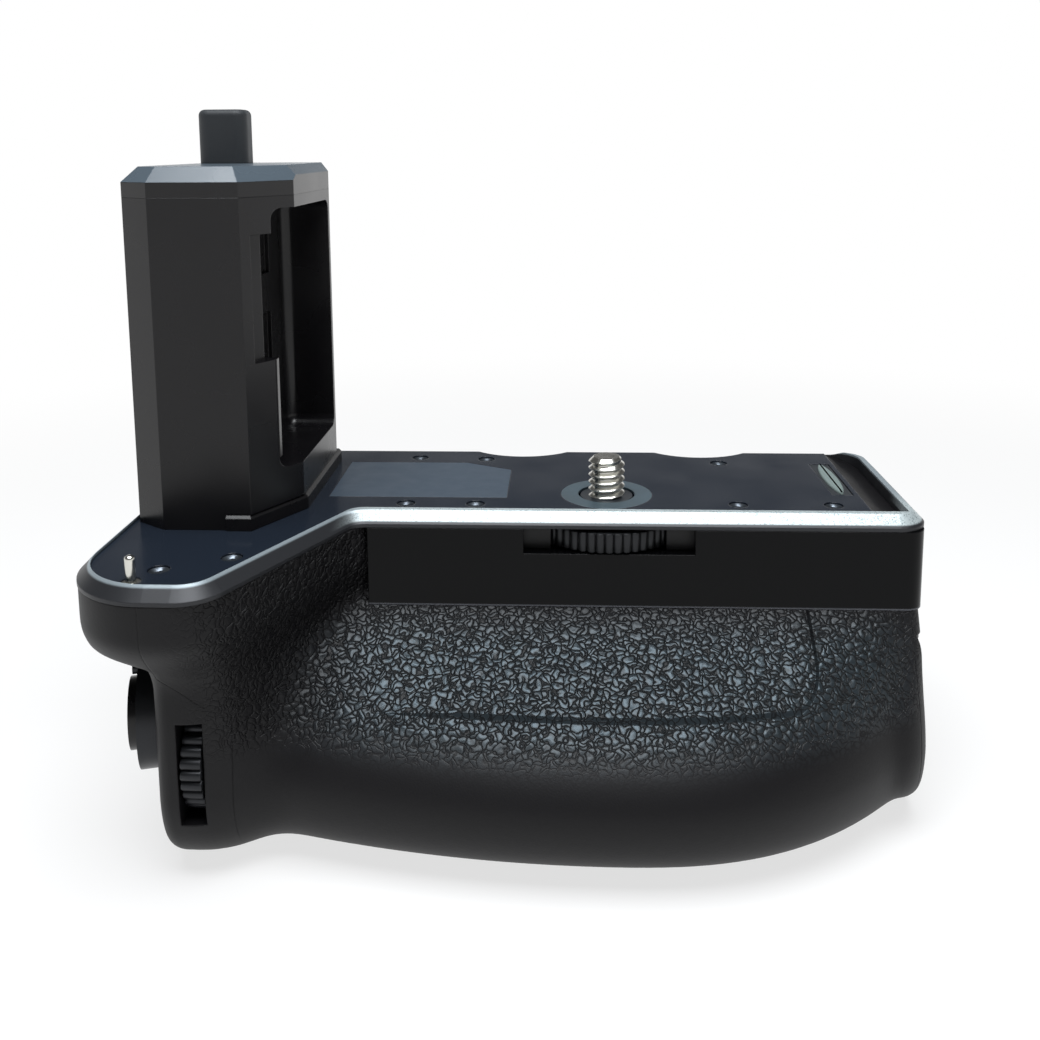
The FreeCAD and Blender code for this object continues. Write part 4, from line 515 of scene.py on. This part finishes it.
def nickel_plating(colours):
    """Nickel-plated steel: warm, bright metal with fine turning marks."""
    material, shader, place = start_material("turned_nickel_plating", {
        "Base Color": opaque(colours.nickel), "Metallic": 1.0})
    roughen(material, shader, place, grain=1.5 * MM, low=0.16, high=0.28)
    add_grain(material, shader, place, grain=0.3 * MM, depth=0.008 * MM, edge=0.1 * MM)
    return material


def black_oxide():
    """Black-oxide steel: dark metal whose edges still shine."""
    return anodised("black_oxide_steel", "#5b6168", 0.9, 0.24, 0.36)


def soft_rubber():
    """Moulded silicone rubber: matt dark grey with a soft sheen."""
    material, shader, place = start_material("moulded_rubber", {
        "Base Color": opaque(linear("#1d2125")), "IOR": 1.45, "Sheen Weight": 0.1})
    roughen(material, shader, place, grain=7 * MM, low=0.5, high=0.62)
    add_grain(material, shader, place, grain=0.3 * MM, depth=0.01 * MM, edge=0.3 * MM)
    return material


def cushion_foam(colours):
    """Closed-cell foam strip: pale grey green with a fine open speckle."""
    material, shader, place = start_material("closed_cell_foam", {"Roughness": 0.7})
    cells = add_node(material, "ShaderNodeTexNoise", {"Scale": 1 / (0.35 * MM), "Detail": 2.0},
                     {"Vector": place})
    tone = add_node(material, "ShaderNodeMix", {
        "data_type": "RGBA", MIX_FIRST: opaque(linear("#55605f")),
        MIX_SECOND: opaque(colours.cushion)},
        {0: cells.outputs["Fac"]})
    connect(material, tone.outputs[MIX_RESULT], shader, "Base Color")
    add_grain(material, shader, place, grain=0.3 * MM, depth=0.03 * MM, edge=0.1 * MM)
    return material


def solder_mask():
    """Circuit board under green solder mask: glossy, with faint tracks beneath."""
    material, shader, place = start_material("solder_mask", {"Roughness": 0.3})
    tracks = add_node(material, "ShaderNodeTexBrick", {
        "Scale": 1 / (6 * MM), "Mortar Size": 0.04, "Color1": opaque(linear("#0e3b22")),
        "Color2": opaque(linear("#104227")), "Mortar": opaque(linear("#1d5c39"))},
        {"Vector": place})
    connect(material, tracks.outputs["Color"], shader, "Base Color")
    return material


def gold_contact():
    """Gold-plated phosphor bronze: warm, bright and slightly wiped."""
    return anodised("gold_plated_contact", "#e3b75c", 1.0, 0.2, 0.32)


# Pieces made here

def annulus(bm, outer, inner, steps, shape):
    """A flat ring whose outer edge follows a shape, lying on its own plane."""
    rim = bmesh.ops.create_circle(bm, cap_ends=False, radius=outer, segments=steps)["verts"]
    for vert in rim:
        vert.co *= shape(math.atan2(vert.co.y, vert.co.x))
    bmesh.ops.create_circle(bm, cap_ends=False, radius=inner, segments=steps)
    return bmesh.ops.bridge_loops(bm, edges=bm.edges[:])["faces"]


def ribbed_wheel(bm, radius, width, bore, ribs, depth, centre, axis):
    """A wheel with rounded ribs and narrow grooves, its edges softened."""
    def shape(turn):
        return 1 - depth / radius * (1 - math.sqrt(abs(math.sin(ribs * turn / 2))))
    flat = annulus(bm, radius, bore, ribs * STEPS_PER_RIB, shape)
    grown = bmesh.ops.extrude_face_region(bm, geom=flat)["geom"]
    bmesh.ops.translate(bm, vec=(0, 0, width), verts=new_verts(grown))
    rim = [edge for edge in bm.edges
           if abs(edge.verts[0].co.z - edge.verts[1].co.z) < MERGE_DISTANCE
           and min(vert.co.xy.length for vert in edge.verts) > (radius + bore) / 2
           and len(edge.link_faces) == 2 and edge.calc_face_angle(0) > 1]
    bmesh.ops.bevel(bm, geom=rim, offset=RIB_EDGE, affect="EDGES", segments=2, profile=0.5,
                    material=-1)
    bmesh.ops.translate(bm, vec=(0, 0, -width / 2), verts=bm.verts)
    bmesh.ops.transform(bm, matrix=Matrix.Translation(centre) @ turned_to(axis), verts=bm.verts)


def turned_profile(bm, points, steps):
    """A body turned round the Z axis from radius and height points."""
    verts = [bm.verts.new((radius, 0, height)) for radius, height in points]
    edges = [bm.edges.new(pair) for pair in zip(verts, verts[1:])]
    bmesh.ops.spin(bm, geom=verts + edges, cent=(0, 0, 0), axis=(0, 0, 1), dvec=(0, 0, 0),
                   angle=math.tau, steps=steps, use_merge=True, use_duplicate=False)


def thread(bm, major, minor, pitch, start, end, chamfer, steps):
    """A screw thread: a toothed profile swept up one pitch in one turn."""
    rise, crest, fall = 0.38, 0.5, 0.88
    profile = ((0.0, minor), (rise, major), (crest, major), (fall, minor))
    verts = []
    teeth = math.ceil((end - start) / pitch) + 2
    for tooth in range(teeth):
        base = start + (tooth - 1) * pitch
        for share, radius in profile:
            verts.append(bm.verts.new((radius, 0, base + share * pitch)))
    edges = [bm.edges.new(pair) for pair in zip(verts, verts[1:])]
    bmesh.ops.spin(bm, geom=verts + edges, cent=(0, 0, 0), axis=(0, 0, 1),
                   dvec=(0, 0, pitch / steps), angle=math.tau, steps=steps, use_merge=False,
                   use_duplicate=False)
    bmesh.ops.remove_doubles(bm, verts=bm.verts, dist=MERGE_DISTANCE)
    for height, facing in ((end, 1), (start, -1)):
        bmesh.ops.bisect_plane(bm, geom=bm.verts[:] + bm.edges[:] + bm.faces[:],
                               dist=MERGE_DISTANCE, plane_co=(0, 0, height),
                               plane_no=(0, 0, facing), clear_outer=True, clear_inner=False)
    for vert in bm.verts:
        over = vert.co.z - (end - chamfer)
        reach = vert.co.xy.length
        if over > 0 and reach > major - over:
            vert.co.xy *= (major - over) / reach
    bmesh.ops.holes_fill(bm, edges=bm.edges, sides=0)


def cross_head(bm, place, radius, height, facing):
    """A screw head with a cross recess and a softened rim."""
    part = bmesh.new()
    arm, reach, taper = radius * 0.14, radius * 0.62, radius * 0.03
    recess, rounding = height * 0.6, height * 0.3
    cross = bmesh.ops.create_grid(part, x_segments=3, y_segments=3, size=reach)["verts"]
    for vert in cross:
        for axis in (0, 1):
            if abs(vert.co[axis]) < reach - MERGE_DISTANCE:
                vert.co[axis] = math.copysign(arm, vert.co[axis])
    corners = [face for face in part.faces
               if min(abs(face.calc_center_median().x), abs(face.calc_center_median().y)) > arm]
    bmesh.ops.delete(part, geom=corners, context="FACES")
    bmesh.ops.inset_region(part, faces=part.faces[:], thickness=taper, depth=-recess,
                           use_even_offset=True)
    open_edges = [edge for edge in part.edges if edge.is_boundary]
    rim = bmesh.ops.create_circle(part, cap_ends=False, radius=radius, segments=36)["verts"]
    outer = list(dict.fromkeys(edge for vert in rim for edge in vert.link_edges))
    bmesh.ops.triangle_fill(part, use_beauty=True, use_dissolve=False, edges=open_edges + outer,
                            normal=(0, 0, 1))
    wall = bmesh.ops.extrude_edge_only(part, edges=[edge for edge in outer if edge.is_valid])
    bmesh.ops.translate(part, vec=(0, 0, -height), verts=new_verts(wall["geom"]))
    bmesh.ops.holes_fill(part, edges=part.edges, sides=0)
    sharp = [edge for edge in part.edges
             if all(abs(vert.co.xy.length - radius) < MERGE_DISTANCE
                    and abs(vert.co.z) < MERGE_DISTANCE for vert in edge.verts)]
    bmesh.ops.bevel(part, geom=sharp, offset=rounding, affect="EDGES", segments=2,
                    profile=0.5, material=-1)
    bmesh.ops.transform(part, matrix=Matrix.Translation(place) @ turned_to(facing),
                        verts=part.verts)
    mesh = bpy.data.meshes.new("screw_head_form")
    part.to_mesh(mesh)
    part.free()
    bm.from_mesh(mesh)
    bpy.data.meshes.remove(mesh)


def loose_parts(node):
    """The lowest and highest corner of each separate solid of a CAD node."""
    bm = bmesh.new()
    bm.from_mesh(frame["nodes"][node].data)
    bmesh.ops.remove_doubles(bm, verts=bm.verts, dist=MERGE_DISTANCE)
    seen = set()
    found = []
    for first in bm.verts:
        if first in seen:
            continue
        seen.add(first)
        group = [first]
        for vert in group:
            for edge in vert.link_edges:
                near = edge.other_vert(vert)
                if near not in seen:
                    seen.add(near)
                    group.append(near)
        low = Vector([min(vert.co[axis] for vert in group) for axis in range(3)])
        high = Vector([max(vert.co[axis] for vert in group) for axis in range(3)])
        found.append((low, high))
    bm.free()
    return found


def screw_set(name, node, material, facing):
    """Screw heads with cross recesses and plain shanks in place of one CAD node's screws."""
    head_share, shank_share = 0.55, 0.5
    bm = bmesh.new()
    for low, high in loose_parts(node):
        radius = (high.x - low.x) / 2
        height = radius * head_share
        top = high.z if facing.z > 0 else low.z
        centre = Vector(((low.x + high.x) / 2, (low.y + high.y) / 2, top))
        cross_head(bm, centre, radius, height, facing)
        far = low.z if facing.z > 0 else high.z
        inner = radius * shank_share
        shank = bmesh.ops.create_cone(bm, cap_ends=True, segments=24, radius1=inner,
                                      radius2=inner, depth=abs(top - far) - height)["verts"]
        bmesh.ops.translate(bm, verts=shank,
                            vec=(centre.x, centre.y, (top + far) / 2 - facing.z * height / 2))
    return place_piece(bm, name, "grip_body", material, [node])


# Operators

class GRIP_OT_body(bpy.types.Operator):
    """Finish the moulded body, its covering and the fascia"""
    bl_idname = "grip.body"
    bl_label = "Body and covering"

    def execute(self, context):
        colours = context.scene.grip_colours
        covering = leatherette("pebbled_leatherette", colours, PEBBLED, PAINTED_SHEEN_ZONE,
                               pressed_panel=True)
        # The thumb covering carries the painted sheen and crease shade all over
        thumb_covering = leatherette("thumb_leatherette", colours, WHOLE_THUMB, WHOLE_THUMB,
                                     pressed_panel=False)
        dress(covering, "front_grip_cover", "front_shell")
        dress(thumb_covering, "rear_thumb_cover")
        dress(moulded_abs(colours), "rear_shell", "end_cap", "chassis", "bay_ceiling",
              "base_plate", "battery_tray", "battery_door", "turn_latch", "shutter_switch")
        dress(polished_abs(), "front_fascia")
        return {"FINISHED"}


class GRIP_OT_deck(bpy.types.Operator):
    """Finish the deck and its rim, and make its screws and cushion"""
    bl_idname = "grip.deck"
    bl_label = "Deck"

    def execute(self, context):
        colours = context.scene.grip_colours
        sizes = context.scene.grip_sizes
        dress(lacquered_deck(colours), "deck_plate")
        dress(rim_paint(colours), "deck_rim", "rear_rim_strip")
        dress(slate_plate(colours), "label_plate")
        dress(anodised("blasted_steel_ring", "#6c7e88", 0.85, 0.36, 0.5), "ring_plate")
        dress(nickel_plating(colours), "locating_pin")
        dark = black_oxide()
        screw_set("deck_screw_heads", "deck_screws", dark, Vector((0, 0, 1)))
        self.cushion(sizes, cushion_foam(colours))
        return {"FINISHED"}

    def cushion(self, sizes, material):
        """A leaf-shaped strip with rounded edges in its recess."""
        low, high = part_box("cushion_strip")
        half = (high - low) / 2
        centre = (low + high) / 2
        bed_top = -0.15 * MM
        bed_margin = 0.9 * MM
        clearance = 0.01 * MM
        pointed = 1.25
        bm = bmesh.new()
        bmesh.ops.create_circle(bm, cap_ends=True, radius=1.0, segments=64)
        for vert in bm.verts:
            across = vert.co.x
            vert.co.x = half.x * math.copysign(abs(across) ** pointed, across)
            vert.co.y *= half.y
        grown = bmesh.ops.extrude_face_region(bm, geom=bm.faces[:])["geom"]
        bmesh.ops.translate(bm, vec=(0, 0, high.z - bed_top), verts=new_verts(grown))
        edges = [item for item in grown if isinstance(item, bmesh.types.BMEdge)]
        bmesh.ops.bevel(bm, geom=edges, offset=sizes.cushion_crown, affect="EDGES", segments=4,
                        profile=0.5, material=-1)
        bmesh.ops.translate(bm, vec=(centre.x, centre.y, bed_top), verts=bm.verts)
        pad = place_piece(bm, "cushion_pad", "grip_body", material,
                          ["cushion_strip"])
        bed = bmesh.new()
        bmesh.ops.create_cube(bed, size=1.0)
        thickness = bed_top - low.z - clearance
        bmesh.ops.scale(bed, vec=(2 * half.x + bed_margin, 2 * half.y + bed_margin, thickness),
                        verts=bed.verts)
        bmesh.ops.translate(bed, vec=(centre.x, centre.y, bed_top - thickness / 2),
                            verts=bed.verts)
        place_piece(bed, "cushion_bed", "grip_body", soft_rubber())


class GRIP_OT_clamp(bpy.types.Operator):
    """Make the threaded clamp screw and its toothed wheel"""
    bl_idname = "grip.clamp"
    bl_label = "Clamp screw and wheel"

    def execute(self, context):
        colours = context.scene.grip_colours
        sizes = context.scene.grip_sizes
        low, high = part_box("camera_screw")
        major = MOUNTS["camera_screw"]["dims"]["r_mm"] * MM
        collar = (high.x - low.x) / 2
        wheel_low, wheel_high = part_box("thumbwheel")
        below_ring = 0.2 * MM
        collar_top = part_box("ring_plate")[1].z - below_ring
        steps = 48
        bm = bmesh.new()
        thread(bm, major, major - sizes.thread_depth, sizes.thread_pitch, collar_top, high.z,
               chamfer=0.9 * MM, steps=steps)
        place_piece(bm, "threaded_clamp_screw", "clamp_wheel", nickel_plating(colours),
                    ["camera_screw"])
        bm = bmesh.new()
        turned_profile(bm, [(0, low.z), (major, low.z), (major, wheel_high.z),
                            (collar, wheel_high.z), (collar, collar_top), (0, collar_top)], steps)
        place_piece(bm, "screw_collar", "clamp_wheel", black_oxide())
        wheel = bmesh.new()
        ribbed_wheel(wheel, (wheel_high.x - wheel_low.x) / 2, wheel_high.z - wheel_low.z, major,
                     sizes.wheel_ribs, sizes.wheel_rib_depth, middle("thumbwheel"),
                     Vector((0, 0, 1)))
        place_piece(wheel, "toothed_wheel", "clamp_wheel",
                    anodised("black_anodised_wheel", "#292a2c", 0.7, 0.3, 0.42), ["thumbwheel"])
        return {"FINISHED"}


class GRIP_OT_stalk(bpy.types.Operator):
    """Finish the battery-shaped stalk and what it carries"""
    bl_idname = "grip.stalk"
    bl_label = "Stalk"

    def execute(self, context):
        colours = context.scene.grip_colours
        satin = satin_abs(colours)
        dress(satin, "stalk_shell", "stalk_plinth", "storage_catch", "connector_block")
        dress(bevelled_abs(colours), "stalk_top_cap")
        dress(gold_contact(), "connector_contacts")
        dress(soft_rubber(), "connector_cap")
        return {"FINISHED"}


class GRIP_OT_controls(bpy.types.Operator):
    """Make the ribbed dials and finish the ring, buttons and joystick"""
    bl_idname = "grip.controls"
    bl_label = "Controls"

    def execute(self, context):
        colours = context.scene.grip_colours
        sizes = context.scene.grip_sizes
        black = anodised("black_anodised_aluminium", "#26272a", 0.6, 0.28, 0.4)
        for node, axis in (("front_dial", Vector((1, 0, 0))), ("rear_dial", Vector((0, 0, 1)))):
            size = span(node)
            width = abs(size.dot(axis))
            radius = (size.x + size.y + size.z - width) / 4
            axle = span(node + "_axle")
            bore = (axle.x + axle.y + axle.z - abs(axle.dot(axis))) / 4
            bm = bmesh.new()
            ribbed_wheel(bm, radius, width, bore + 0.05 * MM, sizes.dial_ribs,
                         sizes.dial_rib_depth, middle(node), axis)
            place_piece(bm, node + "_ribbed", node, black, [node])
        dress(black, "on_off_ring", "joystick_base", "joystick_yoke")
        dress(satin_abs(colours), "shutter_button", "focus_button", "exposure_lock_button",
              "custom_button")
        dress(soft_rubber(), "joystick_cap")
        return {"FINISHED"}


class GRIP_OT_base(bpy.types.Operator):
    """Finish the base: its screws, rubber pad and tripod socket"""
    bl_idname = "grip.base"
    bl_label = "Base"

    def execute(self, context):
        colours = context.scene.grip_colours
        dress(soft_rubber(), "base_rubber_pad")
        dress(nickel_plating(colours), "tripod_socket")
        screw_set("base_screw_heads", "base_screws", black_oxide(),
                  Vector((0, 0, -1)))
        return {"FINISHED"}


class GRIP_OT_inside(bpy.types.Operator):
    """Finish the boards, contacts, axles and bush inside"""
    bl_idname = "grip.inside"
    bl_label = "Inside"

    def execute(self, context):
        colours = context.scene.grip_colours
        dress(solder_mask(), "circuit_board", "rear_switch_board")
        dress(gold_contact(), "bay_contacts", "tray_contacts", "screw_bush")
        dress(nickel_plating(colours), "front_dial_axle", "rear_dial_axle")
        return {"FINISHED"}


class GRIP_OT_studio(bpy.types.Operator):
    """Set the floor, the soft light and the camera"""
    bl_idname = "grip.studio"
    bl_label = "Studio"

    def execute(self, context):
        studio = context.scene.grip_studio
        self.floor(studio)
        self.surround(context.scene, studio)
        self.softbox(studio)
        self.camera(context.scene, studio)
        context.scene.view_settings.view_transform = "Standard"
        return {"FINISHED"}

    def floor(self, studio):
        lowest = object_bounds()[0][2]
        bm = bmesh.new()
        bmesh.ops.create_circle(bm, cap_ends=True, radius=2.5, segments=96)
        bmesh.ops.translate(bm, vec=(0, 0, lowest), verts=bm.verts)
        mesh = bpy.data.meshes.new("studio_floor")
        bm.to_mesh(mesh)
        bm.free()
        floor = bpy.data.objects.new("studio_floor", mesh)
        bpy.context.scene.collection.objects.link(floor)
        material, shader, place = start_material("matt_studio_floor", {"Roughness": 0.9,
                                                                       "Specular IOR Level": 0.1})
        blotch = add_node(material, "ShaderNodeTexNoise", {"Scale": 1 / (60 * MM)},
                          {"Vector": place})
        tone = add_node(material, "ShaderNodeMix", {
            "data_type": "RGBA", MIX_FIRST: opaque(studio.floor),
            MIX_SECOND: opaque(linear("#eeeeed"))},
            {0: blotch.outputs["Fac"]})
        connect(material, tone.outputs[MIX_RESULT], shader, "Base Color")
        away = add_node(material, "ShaderNodeVectorMath", {"operation": "LENGTH"},
                        {"Vector": place})
        level = add_node(material, "ShaderNodeMapRange", {
            "interpolation_type": "SMOOTHSTEP", "From Min": 0.12, "From Max": 0.4, "To Min": 0.72,
            "To Max": 1.0}, {"Value": away.outputs["Value"]})
        share = add_node(material, "ShaderNodeMath", {"operation": "MULTIPLY"},
                         {0: seen_rays(material)[0], 1: level.outputs["Result"]})
        glow = add_node(material, "ShaderNodeEmission", {"Strength": 1.0})
        blend = add_node(material, "ShaderNodeMixShader", {}, {
            0: share.outputs["Value"], 1: shader.outputs["BSDF"], 2: glow.outputs["Emission"]})
        out = material.node_tree.nodes["Material Output"]
        connect(material, blend.outputs["Shader"], out, "Surface")
        mesh.materials.append(material)
        floor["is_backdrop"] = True

    def surround(self, scene, studio):
        """White behind the object, a dimmer room above it, and even light all round."""
        world = bpy.data.worlds.new("studio_surround")
        world.use_nodes = True
        scene.world = world
        out = world.node_tree.nodes["World Output"]
        light = world.node_tree.nodes["Background"]
        light.inputs["Color"].default_value = opaque(linear("#f6f9ff"))
        light.inputs["Strength"].default_value = studio.surround
        seen, mirrored = seen_rays(world)
        way = add_node(world, "ShaderNodeTexCoord").outputs["Generated"]
        split = add_node(world, "ShaderNodeSeparateXYZ", {}, {"Vector": way})
        room = add_node(world, "ShaderNodeMapRange", {
            "interpolation_type": "SMOOTHSTEP", "From Min": math.sin(math.radians(8)),
            "From Max": math.sin(math.radians(15)), "To Min": 0.0, "To Max": 0.9},
            {"Value": split.outputs["Z"]})
        dim = add_node(world, "ShaderNodeMath", {"operation": "MULTIPLY"}, {
            0: room.outputs["Result"], 1: mirrored})
        level = add_node(world, "ShaderNodeMath", {"operation": "SUBTRACT", 0: 1.0},
                         {1: dim.outputs["Value"]})
        white = add_node(world, "ShaderNodeBackground", {}, {"Strength": level.outputs["Value"]})
        white.inputs["Color"].default_value = (1, 1, 1, 1)
        blend = add_node(world, "ShaderNodeMixShader", {}, {
            0: seen, 1: light.outputs["Background"],
            2: white.outputs["Background"]})
        world.node_tree.links.new(blend.outputs["Shader"], out.inputs["Surface"])

    def softbox(self, studio):
        lamp = bpy.data.lights.new("overhead_softbox", "AREA")
        lamp.shape = "RECTANGLE"
        lamp.size, lamp.size_y = studio.softbox_size
        lamp.energy = studio.softbox_power
        lamp.color = (0.94, 0.97, 1.0)
        holder = bpy.data.objects.new("overhead_softbox", lamp)
        holder.location = studio.softbox_place
        bpy.context.scene.collection.objects.link(holder)

    def camera(self, scene, studio):
        view = bpy.data.cameras.new("photo_view")
        view.lens = studio.lens
        view.shift_y = studio.shift
        view.clip_start = 5 * MM
        holder = bpy.data.objects.new("photo_view", view)
        holder.matrix_world = (Matrix.Translation(studio.eye)
                               @ Matrix.Rotation(studio.heading, 4, "Z")
                               @ Matrix.Rotation(math.pi / 2 - studio.dip, 4, "X")
                               @ Matrix.Rotation(studio.roll, 4, "Z"))
        scene.collection.objects.link(holder)
        scene.camera = holder


class GRIP_PT_panel(bpy.types.Panel):
    """Lists the grip's pieces and their sizes and colours"""
    bl_idname = "GRIP_PT_panel"
    bl_label = "Hand grip"
    bl_space_type = "VIEW_3D"
    bl_region_type = "UI"
    bl_category = "Hand grip"

    def draw(self, context):
        for operator in OPERATORS:
            self.layout.operator(operator.bl_idname)
        for group in (context.scene.grip_sizes, context.scene.grip_colours,
                      context.scene.grip_studio):
            box = self.layout.box()
            for name in group.__annotations__:
                box.prop(group, name)


GROUPS = {"grip_sizes": GripSizes, "grip_colours": GripColours, "grip_studio": GripStudio}
OPERATORS = [GRIP_OT_body, GRIP_OT_deck, GRIP_OT_clamp, GRIP_OT_stalk, GRIP_OT_controls,
             GRIP_OT_base, GRIP_OT_inside, GRIP_OT_studio]


def register():
    for item in [*GROUPS.values(), *OPERATORS, GRIP_PT_panel]:
        bpy.utils.register_class(item)
    for name, group in GROUPS.items():
        setattr(bpy.types.Scene, name, PointerProperty(type=group))


def unregister():
    for name in GROUPS:
        delattr(bpy.types.Scene, name)
    for item in reversed([*GROUPS.values(), *OPERATORS, GRIP_PT_panel]):
        bpy.utils.unregister_class(item)


def main():
    register()
    bpy.ops.grip.body()
    bpy.ops.grip.deck()
    bpy.ops.grip.clamp()
    bpy.ops.grip.stalk()
    bpy.ops.grip.controls()
    bpy.ops.grip.base()
    bpy.ops.grip.inside()
    bpy.ops.grip.studio()


if __name__ == "__main__":
    main()
